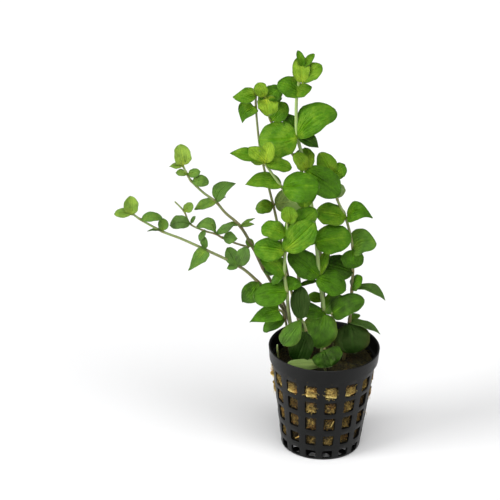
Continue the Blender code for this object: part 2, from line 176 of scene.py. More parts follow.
SHOOTS = (
    shoot(
        "tall", 2.2, 1.4, (0.8, 1.0),
        joint(-1, 0, 46.5),
        joint(-1, -1, 73, leaf(202, 14, 17, 9.5, 30, 0.22, cup=-0.1), leaf(35, 29, 12.5, 10, 50, 0.46),
              leaf(245, -66, 18, 17.3, 75, 0.42, curl=0.1, cup=-0.12, clasp=2.2, worn=0.5, haze=0.12)),
        joint(-4, 0, 92.5, leaf(190, 41, 20, 12.8, 52, 0.27, cup=-0.1),
              leaf(351, -24, 15, 12.5, 50, 0.36, cup=-0.15, clasp=2.5),
              leaf(40, 68, 13.5, 5, 15, 0.7)),
        joint(-6, 1, 110.5, leaf(200, 44, 10, 9, 50, 0.4),
              leaf(354, 13, 17.3, 15, 55, 0.45, cup=-0.08, clasp=2.2)),
        joint(-9, 3, 129),
        joint(-12.5, 4, 147.5, leaf(354, -35, 21.3, 13.5, 60, 0.32, curl=0.1, cup=-0.1),
              leaf(100, 54, 10.5, 10, 60, 0.68), leaf(204, 56, 11, 8, 40, 0.75)),
        joint(-17, 5, 164, leaf(178, -7, 19, 18.5, 58, 0.6, cup=-0.1, curl=0.3),
              leaf(1, 40, 22.6, 14.6, 55, 0.47, cup=-0.12, tip=2.1, widest=1.08,
                   curl=0.35, arch=0.1, sway=-0.14),
              leaf(124, 38, 13, 9, 20, 0.3, clasp=-0.5),
              leaf(339, -16, 11.4, 8, 25, 0.12, fold=0.4, tip=1.15, widest=1.05)),
        joint(-18, 6, 175),
        joint(-18, 6, 186.3, leaf(186, 32, 11, 10.5, 50, 0.45, sway=0.12, clasp=3.0),
              leaf(349, 33, 8.2, 7, 45, 0.63, cup=0.15, tip=1.5, clasp=3.0)),
        joint(-17, 6, 193.5, leaf(75, 81, 11.6, 8.5, 80, 0.8, base=2.0, clasp=3.2),
              leaf(350, 38, 13.3, 9, 62, 0.66, base=1.6, widest=1.05, clasp=2.4)),
        joint(-15.5, 6, 201, leaf(180, 69, 7.9, 3.6, 60, 0.45, fold=0.3),
              leaf(0, 51, 7.8, 3.6, 60, 0.5, fold=0.3)),
    ),
    shoot(
        "back", 1.6, 1.0, (0.35, 0.6),
        joint(-9, 9, 46.5),
        joint(-18, 11, 81.5),
        joint(-25.5, 12, 115.5),
        joint(-27.5, 13, 123.5, leaf(187, -13, 8.8, 7.5, 45, 0.7, arch=0.3, cup=-0.3),
              # Painted light: the next leaf is paler than new growth, for light shining through it from
              # behind
              leaf(8, 13, 16.5, 12, 65, 1.1, clasp=1.0, flipped=True)),
        joint(-33, 15, 144),
        joint(-35.5, 15, 157),
        joint(-37.5, 15, 175,
              leaf(190, -52, 10.8, 8.5, 55, 0.55, sway=0.22, base=3.0, tip=1.2, widest=0.7, wave=0.1)),
        joint(-37.5, 15, 182.5, leaf(180, -16, 11.7, 8, 50, 0.62, sway=-0.1, tip=1.3, widest=0.75),
              leaf(40, 20, 4, 3.5, 50, 0.7)),
    ),
    shoot(
        "rosette", 1.8, 1.2, (0.25, 0.75),
        joint(1.5, 8, 46.5),
        joint(-1, 8.5, 75, leaf(173, 6, 8.5, 6, 30, 0.68)),
        joint(-2.5, 9, 95),
        joint(-9.5, 10, 124),
        joint(-15, 11, 145),
        joint(-25, 12, 160),
        joint(-30, 12, 169, leaf(6, 52, 11.4, 9.5, 50, 0.5)),
        joint(-32.5, 12, 175.5, leaf(110, 78, 8, 9, 70, 0.5, wave=0.14)),
        joint(-33.5, 12, 181.5, leaf(286, -37, 10.3, 9.8, 44, 0.88, wave=0.3, cup=0.3, base=2.8, tip=2.4),
              leaf(12, -6, 8.5, 8.5, 45, 0.4, tip=1.4, wave=0.1),
              leaf(138, 50, 7.5, 6.5, 45, 0.72, wave=0.12),
              leaf(20, 24, 9, 9, 45, 0.35, wave=0.1)),
    ),
    shoot(
        "front", 1.9, 1.2, (0.45, 0.9),
        joint(-11, 4, 46.5),
        joint(-13.5, 5.5, 84, leaf(6, 16, 9, 3, 20, 0.52)),
        joint(-14.5, 4, 98),
        joint(-13.5, 0, 118),
        joint(-13, -4, 130, leaf(92, 74, 17.5, 13.5, 75, 0.62, base=1.4, widest=1.1),
              leaf(12, -24, 8.5, 5, 40, 0.62)),
        joint(-19.5, -4, 136),
        joint(-24, -4, 141.5, leaf(181, 6, 17.3, 9.5, 35, 0.62, sway=0.09, tip=1.4, cup=-0.2, curl=0.35),
              leaf(354, 6, 18.2, 15, 54, 0.42, cup=-0.1)),
        joint(-32.5, -4, 154,
              leaf(183, 17, 17.3, 7, 40, 0.6, fold=0.2, arch=0.1, wave=0.14, tip=1.4, widest=1.2),
              leaf(4, -11, 13.5, 8, 30, 0.58, tip=1.8),
              leaf(182, 46, 11, 9, 60, 0.85, wave=0.12, tip=1.4, clasp=2.0),
              leaf(30, 74, 10.5, 7, 70, 0.92, wave=0.1, clasp=2.0)),
        joint(-34, -4, 158),
    ),
    shoot(
        "right", 1.8, 1.1, (0.15, 0.8),
        joint(10, 2, 46.5),
        joint(12, 2.5, 66,
              leaf(287, -55, 15.5, 18, 60, -0.22, cup=-0.08, tip=2.1, wave=0.03, worn=0.3),
              leaf(353, -18, 16.2, 5.6, 15, 0.22, arch=0.14, fold=0.3, tip=1.4, curl=0.0, haze=0.22),
              leaf(55, 12, 8, 5, 20, 0.52)),
        joint(12.5, 4, 83.5,
              leaf(353, -15, 17.2, 6.6, 15, 0.24, arch=0.2, fold=0.3, curl=0.0, tip=1.5, widest=1.3,
                   haze=0.22),
              leaf(335, 58, 9, 8, 25, 0.42)),
        joint(12.5, 4, 93, leaf(178, 13, 15, 12.5, 55, 0.16, cup=-0.1)),
        joint(12, 4, 106,
              leaf(354, 18, 11.8, 13, 50, 0.5, fold=0.15, base=3.0, widest=0.6, cup=-0.1, sway=-0.22,
                   haze=0.18),
              leaf(280, -68, 10, 11, 65, 0.24)),
        joint(8, 5, 121.5,
              leaf(356, 4, 13, 10, 50, 0.5, arch=0.3, tip=1.2, cup=-0.2, widest=0.7, fold=0.2, sway=-0.25),
              leaf(180, 12, 15, 12, 45, 0.64, cup=-0.1, fold=0.15)),
        joint(3.5, 8, 130, leaf(80, 80, 8, 7, -50, 0.75)),
        joint(0, 9, 143, leaf(170, 62, 12, 9, 60, 0.68, cup=0.15), leaf(0, 36, 8.2, 8, 60, 0.62, base=2.8)),
    ),
    shoot(
        "middle", 1.9, 1.2, (0.5, 1.0),
        joint(-13, -6, 46.5),
        joint(-18, -7, 73.5),
        joint(-19.5, -8, 87, leaf(190, -9, 16.5, 13, 45, 0.34, cup=-0.12, sway=0.04),
              leaf(85, 64, 7.6, 12.5, 60, 0.44, cup=-0.1, clasp=1.2)),
        joint(-21, -8, 96, leaf(178, 41, 15.2, 10, 50, 0.5, cup=-0.1, sway=0.08),
              leaf(150, -38, 9.5, 7, 30, 0.36)),
        joint(-21, -9, 110, leaf(351, 50, 21, 14, 66, 0.57, base=1.6, widest=1.1, clasp=2.2),
              leaf(174, 2, 15.5, 12, 45, 0.55, cup=-0.1)),
        joint(-20.5, -9, 118.5, leaf(178, 15, 12.8, 9.5, 45, 0.6, wave=0.16, tip=2.2),
              leaf(12, 40, 18.3, 11, 60, 0.55, cup=-0.05, clasp=1.8)),
        joint(-20.5, -9, 125.5, leaf(180, 88, 7.8, 8, 70, 0.72, clasp=2.5), leaf(350, 40, 5, 4, 50, 0.65)),
    ),
    shoot(
        "short_left", 1.4, 1.0, (0.3, 0.5),
        joint(-15.5, -3, 46.5),
        joint(-20, -6, 71.5, leaf(180, -35, 13, 9.5, 20, 0.2, tip=1.5)),
        joint(-23, -9, 77.5, leaf(185, -24, 15.8, 10, 42, 0.36, base=3.0, tip=1.15, widest=0.6, cup=-0.15)),
    ),
    shoot(
        "short_middle", 1.5, 1.1, (0.3, 0.75),
        joint(-7, -9, 46.5),
        joint(-9.5, -10, 67, leaf(190, -76, 17.8, 11.8, 60, -0.28)),
        joint(-12.5, -11, 74.5, leaf(218, -48, 15.8, 10, 50, 0.36, cup=-0.15, base=1.6, widest=1.35, worn=0.3,
                   haze=0.12),
              leaf(96, 64, 15.5, 9.5, 60, -0.06)),
    ),
    shoot(
        "short_right", 1.5, 1.1, (0.3, 0.6),
        joint(5, 1, 46.5),
        joint(4.5, -1, 64),
        joint(3, -3, 73.5, leaf(355, 30, 17.6, 11, 50, 0.2, cup=-0.1, base=2.8, wave=0.12, sway=-0.05)),
    ),
    shoot(
        "mouth", 1.3, 0.9, (0.3, 0.4),
        joint(1, -13.5, 46.5),
        joint(-0.5, -14.5, 51.3, leaf(184, 0, 17.5, 5.5, 60, 1.1, cup=0.25, flipped=True)),
        joint(0, -12, 58.5, leaf(302, -42, 9.5, 15, 45, 0.06, fold=0.2, cup=-0.1, base=3.0, clasp=2.0)),
    ),
    shoot(
        "stub", 1.5, 0.8, (0.4, 0.6),
        joint(-22.5, -6, 46.5),
        joint(-23.2, -6, 56.5),
    ),
    shoot(
        "upper_left", 1.8, 1.0, (0.1, 0.8),
        joint(-13, 3.5, 46.5),
        joint(-20.5, 2.5, 74),
        joint(-31.5, 1, 95, leaf(330, -12, 6.5, 5, 30, 0.4)),
        joint(-37, 0, 107, leaf(150, 44, 4.5, 4, 40, 0.7)),
        joint(-43.5, -1, 118.5, leaf(0, 31, 8.5, 1.8, 40, 0.6, tip=1.2),
              leaf(344, 16, 7.5, 2.4, 40, 0.55, tip=1.4),
              leaf(176, 6, 7, 3, 20, 0.6, tip=1.3)),
        joint(-50.5, -2, 125.5),
        joint(-55.5, -2, 131.5,
              leaf(14, 43, 13.2, 7.5, 45, 0.4, fold=0.3, base=1.8, tip=1.3, widest=0.75, curl=0.0,
                   sway=-0.22),
              leaf(191, -18, 11, 5.5, 35, 0.62, tip=1.3, fold=0.2), leaf(345, 35, 6, 2.6, 20, 0.5, tip=1.2)),
        joint(-61.5, -3, 136.5),
        joint(-67.5, -3, 142.5, leaf(353, 2, 8.6, 6, 50, 0.55, arch=0.32, cup=-0.2)),
        joint(-69.5, -3, 146, leaf(350, 18, 6.5, 5, 40, 0.52), leaf(180, 10, 5.5, 3.6, 40, 0.74, arch=0.15)),
        joint(-72, -3, 151, leaf(180, 84, 10.6, 8.5, 70, 1.0, base=2.0, tip=2.1, cup=0.25, clasp=1.5,
                   wave=0.12),
              leaf(188, -5, 6.2, 3.6, 40, 0.85, tip=1.2)),
        haze=0.35,
    ),
    shoot(
        "twig", 1.1, 0.8, (0.3, 0.6),
        joint(-38.7, -1.5, 107.3),
        joint(-45.5, -4, 110.5),
        joint(-52, -5.5, 114, leaf(352, 0, 7.5, 6.5, 45, 0.42, tip=1.3)),
        joint(-55, -6, 116, leaf(180, 20, 10.2, 6, 50, 0.5, arch=0.2, cup=-0.2, sway=0.3),
              leaf(6, 31, 10.7, 4.5, 40, 0.36, tip=1.2, wave=0.2)),
        joint(-60.5, -6, 117.5, leaf(230, -45, 5.5, 3.2, 30, 0.4, tip=1.4)),
        joint(-67.5, -6, 121,
              leaf(184, -2, 9.8, 7, 50, 0.36, arch=0.25, cup=-0.2, fold=0.3, wave=0.18),
              leaf(20, 60, 4.5, 2, 20, 0.4)),
        joint(-70.5, -6, 127.5, leaf(0, 50, 5.8, 4.5, 60, 0.9, cup=0.4)),
        joint(-75, -6, 132.5),
        haze=0.4,
    ),
    shoot(
        "lower_left", 1.8, 1.0, (0.2, 0.85),
        joint(-12.5, -1, 46.5),
        joint(-19.5, -2, 72),
        joint(-34, -4, 90, leaf(200, -55, 13, 10, 60, 0.2, tip=1.4, curl=0.4, haze=0.0)),
        joint(-44, -6, 99.5, leaf(160, 59, 10, 7, 60, 0.42, wave=0.12),
              leaf(345, 68, 11.2, 7, 60, 0.3, wave=0.12),
              leaf(200, -10, 5.5, 4.5, 30, 0.4, tip=1.3), leaf(95, 40, 6, 6, 45, 0.35)),
        joint(-60, -8, 108.5, leaf(200, -52, 13.4, 7.2, 60, 0.5, tip=1.08, widest=0.6, base=2.2),
              leaf(139, 75, 7.6, 3.6, 50, 0.4, tip=1.6, arch=0.2)),
        joint(-72, -9, 114.5),
        joint(-81, -10, 118.5, leaf(69, 79, 6.5, 5, 50, 0.6, fold=0.5),
              leaf(188, 4, 7.2, 1.8, 20, 0.4, tip=1.2)),
        joint(-91.5, -10, 124.5, leaf(355, 9, 10.7, 5, 50, 0.45, arch=0.36, cup=-0.2)),
        joint(-96, -10, 128, leaf(180, 88, 8.6, 7, 75, 0.84, base=2.0, tip=2.1, cup=0.2, clasp=2.5),
              leaf(187, -4, 8.1, 5, 50, 0.76, cup=-0.1)),
        haze=0.32,
    ),
)
OWN_LEAF_LENGTH = 11.8 * MM

# How well the rockwool fills the windows at the front, row by row from the bottom and from the left. The
# same share darkens a poorly filled window with painted shade and lightens a full window's lower lip with
# painted light
FRONT_FILL = (
    (0.2, 0.45, 0.0, 0.35, 0.65, 0.3, 0.1, 0.3),
    (0.5, 0.5, 0.4, 0.55, 0.5, 0.45, 0.35, 0.6),
    (1.4, 0.6, 0.3, 0.85, 0.72, 0.75, 0.15, 1.1),
    (1.5, 0.8, 1.0, 1.4, 1.4, 1.2, 0.6, 0.9),
)
LEFT_COLUMN = -4

# Rootlets that hang out of the pot, in degrees and mm: the angle round it, the height, the length, the droop
ROOTLETS = ((78, 33, 3.5, 0.5), (84, 30.5, 4.5, 0.9), (80, 20, 4.0, 0.7), (66, 23, 3.0, 0.4),
            (-84, 38, 3.5, 0.6), (150, 30, 5.0, 0.8), (205, 21, 4.5, 0.6))

# Bits of straw caught in the windows: the angle round the pot, the height, the length and the slope
STRAWS = ((-34, 11.3, 4.2, 38), (14, 21.5, 3.6, 65), (118, 22, 4.0, -30))
ROOTLET_RADIUS = 0.17 * MM
ROOTLET_STEPS = 6
STRAW_RADII = (0.28 * MM, 0.32 * MM, 0.3 * MM, 0.2 * MM)

# What the camera looks at, and half the floor's width in metres
CAMERA_TARGET = Vector((-38.15, 20.1, 95.24)) * MM
FLOOR_REACH = 6.0


def length_setting(name, description, default, lowest, highest):
    """A length given in mm."""
    return FloatProperty(name=name, description=description, default=default * MM, min=lowest * MM,
                         max=highest * MM, subtype="DISTANCE", unit="LENGTH", precision=5)


def share_setting(name, description, default, highest):
    """A share from nothing to its highest."""
    return FloatProperty(name=name, description=description, default=default, min=0.0, max=highest,
                         subtype="FACTOR")


def strength_setting(name, description, default):
    """The strength of a light."""
    return FloatProperty(name=name, description=description, default=default, min=0.0, max=20.0)


def colour_setting(name, description, default):
    return FloatVectorProperty(name=name, description=description, default=default, size=3, min=0.0, max=1.0,
                               subtype="COLOR")


class PlantSettings(bpy.types.PropertyGroup):
    """Sizes and colours of the leaves and stems"""

    leaf_thickness: length_setting("Leaf thickness", "Thickness of every leaf", 0.28, 0.1, 1.0)
    stalk_width: length_setting("Stalk width", "Width of a leaf where it leaves its stem", 1.0, 0.3, 3.0)
    lobes: share_setting("Base lobes", "How far a leaf's base reaches back, in its lengths", 0.09, 0.3)
    quilting: share_setting("Quilting", "How far a leaf swells between veins, in its half widths", 0.07, 0.3)
    node_swelling: share_setting("Node swelling", "How much thicker a stem is where leaves grow", 0.22, 1.0)
    old_colour: colour_setting("Old leaf", "Colour of the oldest leaves", (0.006, 0.025, 0.002))
    full_colour: colour_setting("Full leaf", "Colour of the full-grown leaves", (0.046, 0.152, 0.002))
    new_colour: colour_setting("New leaf", "Colour of the newest leaves", (0.210, 0.340, 0.020))
    under_colour: colour_setting("Underside", "Colour of the leaves' undersides", (0.210, 0.290, 0.130))
    browned_colour: colour_setting("Worn rim", "Colour of a leaf's browned rim", (0.16, 0.09, 0.03))
    young_stem_colour: colour_setting("Young stem", "Colour of a stem near its tip", (0.230, 0.330, 0.095))
    old_stem_colour: colour_setting("Old stem", "Colour of a stem near its foot", (0.130, 0.095, 0.040))
    stem_node_colour: colour_setting("Stem node", "Colour of a stem where leaves grow", (0.20, 0.09, 0.035))


class WoolSettings(bpy.types.PropertyGroup):
    """Sizes and colours of the rockwool"""

    bulge: length_setting("Bulge", "How far the rockwool swells into the pot's windows", 1.9, 0.0, 4.0)
    lumps: length_setting("Lumps", "Height of the lumps over its surface", 0.7, 0.0, 3.0)
    fibres: IntProperty(
        name="Fibres", description="Number of loose fibres, rounded up to a power of two", default=4096,
        min=16, max=8192)
    fibre_thickness: length_setting("Fibre thickness", "Thickness of a loose fibre", 0.12, 0.02, 0.5)
    # Painted shade runs towards the shadowed wool colour, and painted light towards the light wool colour
    dark_colour: colour_setting("Shadowed wool", "Colour of the rockwool's hollows", (0.026, 0.018, 0.006))
    body_colour: colour_setting("Wool", "Main colour of the rockwool", (0.365, 0.240, 0.052))
    light_colour: colour_setting("Light wool", "Colour of its lightest fibres", (0.740, 0.590, 0.200))


class PotSettings(bpy.types.PropertyGroup):
    """Sizes and colour of the net pot"""

    plastic: length_setting("Plastic", "Thickness of the pot's wall", 1.0, 0.3, 3.0)
    window_corner: length_setting("Window corner", "How far the windows' corners are rounded", 1.0, 0.1, 1.15)
    edge: length_setting("Edge", "Rounding of the plastic's edges", 0.16, 0.0, 0.4)
    colour: colour_setting("Plastic colour", "Colour of the plastic", (0.0024, 0.0026, 0.0024))
    dust_colour: colour_setting("Dust", "Colour of the plastic where it is dusty", (0.012, 0.013, 0.012))


class StudioSettings(bpy.types.PropertyGroup):
    """The camera, the floor and the lights"""

    focal_length: FloatProperty(
        name="Focal length", description="Lens of the camera, in mm on a 36 mm sensor", default=259.2,
        min=20.0, max=500.0, unit="CAMERA")
    distance: FloatProperty(
        name="Distance", description="From the camera to the plant", default=1.7778,
        min=0.3, max=5.0, subtype="DISTANCE", unit="LENGTH")
    elevation: FloatProperty(
        name="Elevation", description="How far the camera looks down", default=math.radians(26),
        min=0.0, max=math.radians(89), subtype="ANGLE", unit="ROTATION")
    roll: FloatProperty(
        name="Roll", description="How far the picture is turned", default=math.radians(1.8),
        min=-0.3, max=0.3, subtype="ANGLE", unit="ROTATION")
    floor_colour: colour_setting("Floor", "Colour of the floor", (0.87, 0.87, 0.875))
    sky: strength_setting("Sky", "Strength of the light from all round", 0.2)
    top_strength: strength_setting("Top light", "Strength of the wide light overhead", 2.0)
    right_strength: strength_setting("Right light", "Strength of the low light on the right", 0.98)
    left_strength: strength_setting("Left light", "Strength of the low light on the left", 3.5)


def add_node(tree, kind, sockets=None, **settings):
    """Add a shader node, set its properties, and give its sockets values or links."""
    made = tree.nodes.new(kind)
    for name, value in settings.items():
        setattr(made, name, value)
    for name, value in (sockets or {}).items():
        if isinstance(value, bpy.types.NodeSocket):
            tree.links.new(value, made.inputs[name])
        else:
            made.inputs[name].default_value = value
    return made


def calculate(tree, operation, first, second=0.0, clamp=False):
    """One step of arithmetic between two values or sockets."""
    step = add_node(tree, "ShaderNodeMath", {0: first, 1: second}, operation=operation, use_clamp=clamp)
    return step.outputs[0]


def times(tree, first, second):
    return calculate(tree, "MULTIPLY", first, second)


def plus(tree, first, second):
    return calculate(tree, "ADD", first, second)


def mix_colours(tree, share, first, second, blend="MIX"):
    """Mix two colours, each a socket or a triple, by a share."""
    colours = [colour if isinstance(colour, bpy.types.NodeSocket) else (*colour, 1.0)
               for colour in (first, second)]
    mixed = add_node(tree, "ShaderNodeMix", {0: share, 6: colours[0], 7: colours[1]},
                     data_type="RGBA", blend_type=blend, clamp_factor=True)
    return mixed.outputs[2]


def in_range(tree, value, low, high, to_low=0.0, to_high=1.0):
    """Bring a value from one range to another, held inside it."""
    mapped = add_node(tree, "ShaderNodeMapRange", {0: value, 1: low, 2: high, 3: to_low, 4: to_high},
                      clamp=True)
    return mapped.outputs[0]


def colour_ramp(tree, share, stops):
    """A run of colours, each at its place between 0 and 1."""
    made = add_node(tree, "ShaderNodeValToRGB", {0: share})
    elements = made.color_ramp.elements
    while len(elements) < len(stops):
        elements.new(0.5)
    for element, (place, colour) in zip(elements, stops):
        element.position = place
        element.color = (*colour, 1.0)
    return made.outputs[0]


def new_group(name, inputs, outputs):
    """An empty shader node group with named value sockets. Returns the tree and its two end nodes."""
    tree = bpy.data.node_groups.new(name, "ShaderNodeTree")
    for label, value in inputs.items():
        socket = tree.interface.new_socket(name=label, in_out="INPUT", socket_type="NodeSocketFloat")
        socket.default_value = value
    for label in outputs:
        tree.interface.new_socket(name=label, in_out="OUTPUT", socket_type="NodeSocketFloat")
    return tree, tree.nodes.new("NodeGroupInput"), tree.nodes.new("NodeGroupOutput")


def group_node(tree, group, sockets):
    """Place a node group in a material with its own values."""
    return add_node(tree, "ShaderNodeGroup", sockets, node_tree=group)


def mottling_group():
    """Cloudy patches over fine grain, in the object's own space."""
    if "Mottling" in bpy.data.node_groups:
        return bpy.data.node_groups["Mottling"]
    tree, start, end = new_group("Mottling", {"Scale": 300.0, "Grain": 2500.0, "Shift": 0.0},
                                 ("Patches", "Grain"))
    place = add_node(tree, "ShaderNodeTexCoord").outputs["Object"]
    clouds = add_node(tree, "ShaderNodeTexNoise", {
        "Vector": place, "W": start.outputs["Shift"], "Scale": start.outputs["Scale"], "Detail": 4.0,
        "Roughness": 0.6}, noise_dimensions="4D")
    grain = add_node(tree, "ShaderNodeTexNoise", {
        "Vector": place, "Scale": start.outputs["Grain"], "Detail": 2.0, "Roughness": 0.6})
    tree.links.new(in_range(tree, clouds.outputs["Fac"], 0.28, 0.72), end.inputs["Patches"])
    tree.links.new(grain.outputs["Fac"], end.inputs["Grain"])
    return tree


def vein_group():
    """A leaf's midrib and the fine veins that leave it, from the place across and along the leaf."""
    if "Leaf veins" in bpy.data.node_groups:
        return bpy.data.node_groups["Leaf veins"]
    tree, start, end = new_group("Leaf veins", {"Across": 0.0, "Along": 0.0}, ("Midrib", "Veins"))
    along = start.outputs["Along"]
    aside = calculate(tree, "ABSOLUTE", start.outputs["Across"])
    midrib = in_range(tree, aside, 0.02, 0.10, 1.0, 0.0)
    midrib = times(tree, midrib, in_range(tree, along, 0.1, 0.95, 1.0, 0.3))
    spread = plus(tree, times(tree, calculate(tree, "POWER", along, FAN_POWER), 1 - FAN_START), FAN_START)
    fan = calculate(tree, "DIVIDE", times(tree, aside, VEINS_ASIDE), spread)
    fan = in_range(tree, calculate(tree, "PINGPONG", fan, 0.5), 0.0, 0.17, 1.0, 0.0)
    fan = times(tree, fan, in_range(tree, along, 0.05, 0.95, 1.0, 0.15))
    bent = calculate(tree, "SUBTRACT", along, times(tree, aside, 0.4))
    lateral = calculate(tree, "PINGPONG", times(tree, bent, CROSS_VEINS), 0.5)
    lateral = in_range(tree, lateral, 0.0, 0.14, 0.4, 0.0)
    tree.links.new(midrib, end.inputs["Midrib"])
    tree.links.new(calculate(tree, "MAXIMUM", lateral, fan), end.inputs["Veins"])
    return tree


def principled(name, values):
    """A new material with its Principled node, whose plain values are set here."""
    surface = bpy.data.materials.new(name)
    surface.use_nodes = True
    shader = surface.node_tree.nodes["Principled BSDF"]
    for label, value in values.items():
        shader.inputs[label].default_value = value
    return surface, surface.node_tree, shader


def bump(tree, shader, height, distance, strength=1.0):
    """Feed a height to the shader's normal."""
    relief = add_node(tree, "ShaderNodeBump", {"Height": height, "Distance": distance, "Strength": strength})
    tree.links.new(relief.outputs["Normal"], shader.inputs["Normal"])


def channels(tree, attribute):
    """The four values that a piece's points carry.

    In "growth" they are age, chance, the underside's grey, which on an upper face is a painted sheen, or
    nearness to a node, and wear. In "wool" they are pale fibres with painted light, painted shade, and how
    earthy it is, and the fourth isn't used.
    """
    carried = add_node(tree, "ShaderNodeAttribute", attribute_name=attribute)
    parts = add_node(tree, "ShaderNodeSeparateColor", {"Color": carried.outputs["Color"]})
    return parts.outputs[0], parts.outputs[1], parts.outputs[2], carried.outputs["Alpha"]


def about_half(tree, value, strength):
    """How far a value is above a half, at a strength."""
    return times(tree, calculate(tree, "SUBTRACT", value, 0.5), strength)


def leaf_material():
    """Fresh leaf: its green runs with its age, with paler veins, a satin face and a dull pale underside,
    with painted shade along its rim and a painted grey sheen on some upper faces.
    """
    if "Leaf" in bpy.data.materials:
        return bpy.data.materials["Leaf"]
    plant = bpy.context.scene.jenny_plant
    surface, tree, shader = principled("Leaf", {
        "Subsurface Weight": 0.08, "Subsurface Scale": 0.0012, "Subsurface Radius": (0.7, 1.0, 0.25),
        "Specular IOR Level": 0.3, "Specular Tint": (0.8, 1.0, 0.35, 1.0)})
    age, chance, haze, worn = channels(tree, "growth")
    place = add_node(tree, "ShaderNodeAttribute", attribute_name="blade")
    axes = add_node(tree, "ShaderNodeSeparateXYZ", {"Vector": place.outputs["Vector"]})
    along = axes.outputs[1]
    aside = calculate(tree, "ABSOLUTE", axes.outputs[0])
    veins = group_node(tree, vein_group(), {"Across": axes.outputs[0], "Along": along})
    mottled = group_node(tree, mottling_group(), {"Scale": 260.0, "Grain": 2600.0, "Shift": chance})
    patches = mottled.outputs["Patches"]

    tone = plus(tree, age, about_half(tree, chance, 0.1))
    tone = plus(tree, tone, about_half(tree, patches, 0.4))
    old, full, new = (Vector(shade) for shade in (plant.old_colour, plant.full_colour, plant.new_colour))
    green = colour_ramp(tree, tone, (
        (0.0, old), (0.25, old.lerp(full, 0.46)), (0.5, full), (0.75, full.lerp(new, 0.42)), (1.0, new)))

    # The midrib and the veins are paler, and so are the base and an old leaf's rim
    shown = times(tree, veins.outputs["Veins"], in_range(tree, patches, 0.1, 0.9, 0.2, 0.7))
    lined = calculate(tree, "ADD", times(tree, veins.outputs["Midrib"], 0.75), shown, clamp=True)
    pale = mix_colours(tree, 1.0, green, (1.9, 1.6, 1.9), "MULTIPLY")
    colour = mix_colours(tree, lined, green, pale)
    near_base = in_range(tree, along, 0.02, 0.42, 0.6, 0.0)
    near_base = times(tree, near_base, in_range(tree, aside, 0.15, 0.9, 1.0, 0.2))
    colour = mix_colours(tree, near_base, colour, (2.2, 1.7, 2.0), "MULTIPLY")
    # Painted shade: darker towards the rim, where the margin curls down away from the light
    painted_rim_shade = in_range(tree, aside, 0.72, 1.0, 0.0, 0.6)
    colour = mix_colours(tree, painted_rim_shade, colour, (0.55, 0.62, 0.6), "MULTIPLY")
    rim = times(tree, in_range(tree, aside, 0.9, 0.98), in_range(tree, age, 0.2, 0.6, 0.5, 0.0))
    colour = mix_colours(tree, rim, colour, pale)
    # The underside's own grey; on an upper face the same grey is a painted sheen
    grey_face = mix_colours(tree, 0.62, colour, tuple(plant.under_colour))
    colour = mix_colours(tree, haze, colour, grey_face)
    browned = times(tree, times(tree, calculate(tree, "POWER", aside, 6.0), worn), patches)
    colour = mix_colours(tree, browned, colour, tuple(plant.browned_colour))
    tree.links.new(colour, shader.inputs["Base Color"])

    gloss = in_range(tree, mottled.outputs["Grain"], 0.2, 0.8, 0.36, 0.5)
    gloss = plus(tree, gloss, times(tree, haze, 0.2))
    tree.links.new(gloss, shader.inputs["Roughness"])
    sunk = plus(tree, times(tree, veins.outputs["Midrib"], -0.3), times(tree, veins.outputs["Veins"], -0.55))
    sunk = times(tree, sunk, in_range(tree, age, 0.0, 0.5, 0.35, 1.0))
    bump(tree, shader, plus(tree, sunk, times(tree, mottled.outputs["Grain"], 0.5)), 0.5 * MM)
    return surface


def stem_material():
    """Stem: brown at an old foot, through olive to pale green, and a little red where leaves grow."""
    if "Stem" in bpy.data.materials:
        return bpy.data.materials["Stem"]
    plant = bpy.context.scene.jenny_plant
    surface, tree, shader = principled("Stem", {"Subsurface Weight": 0.1, "Subsurface Scale": 0.001})
    age, _, near_node, _ = channels(tree, "growth")
    mottled = group_node(tree, mottling_group(), {"Scale": 420.0, "Grain": 3200.0, "Shift": 3.0})
    tone = plus(tree, age, about_half(tree, mottled.outputs["Patches"], 0.25))
    old = Vector(plant.old_stem_colour)
    young = Vector(plant.young_stem_colour)
    colour = colour_ramp(tree, tone, (
        (0.0, old), (0.4, old.lerp(young, 0.3)), (0.8, young), (1.0, young * 1.25)))
    colour = mix_colours(tree, times(tree, near_node, 0.45), colour, tuple(plant.stem_node_colour))
    tree.links.new(colour, shader.inputs["Base Color"])
    tree.links.new(in_range(tree, mottled.outputs["Grain"], 0.2, 0.8, 0.38, 0.6), shader.inputs["Roughness"])
    bump(tree, shader, mottled.outputs["Grain"], 0.1 * MM)
    return surface


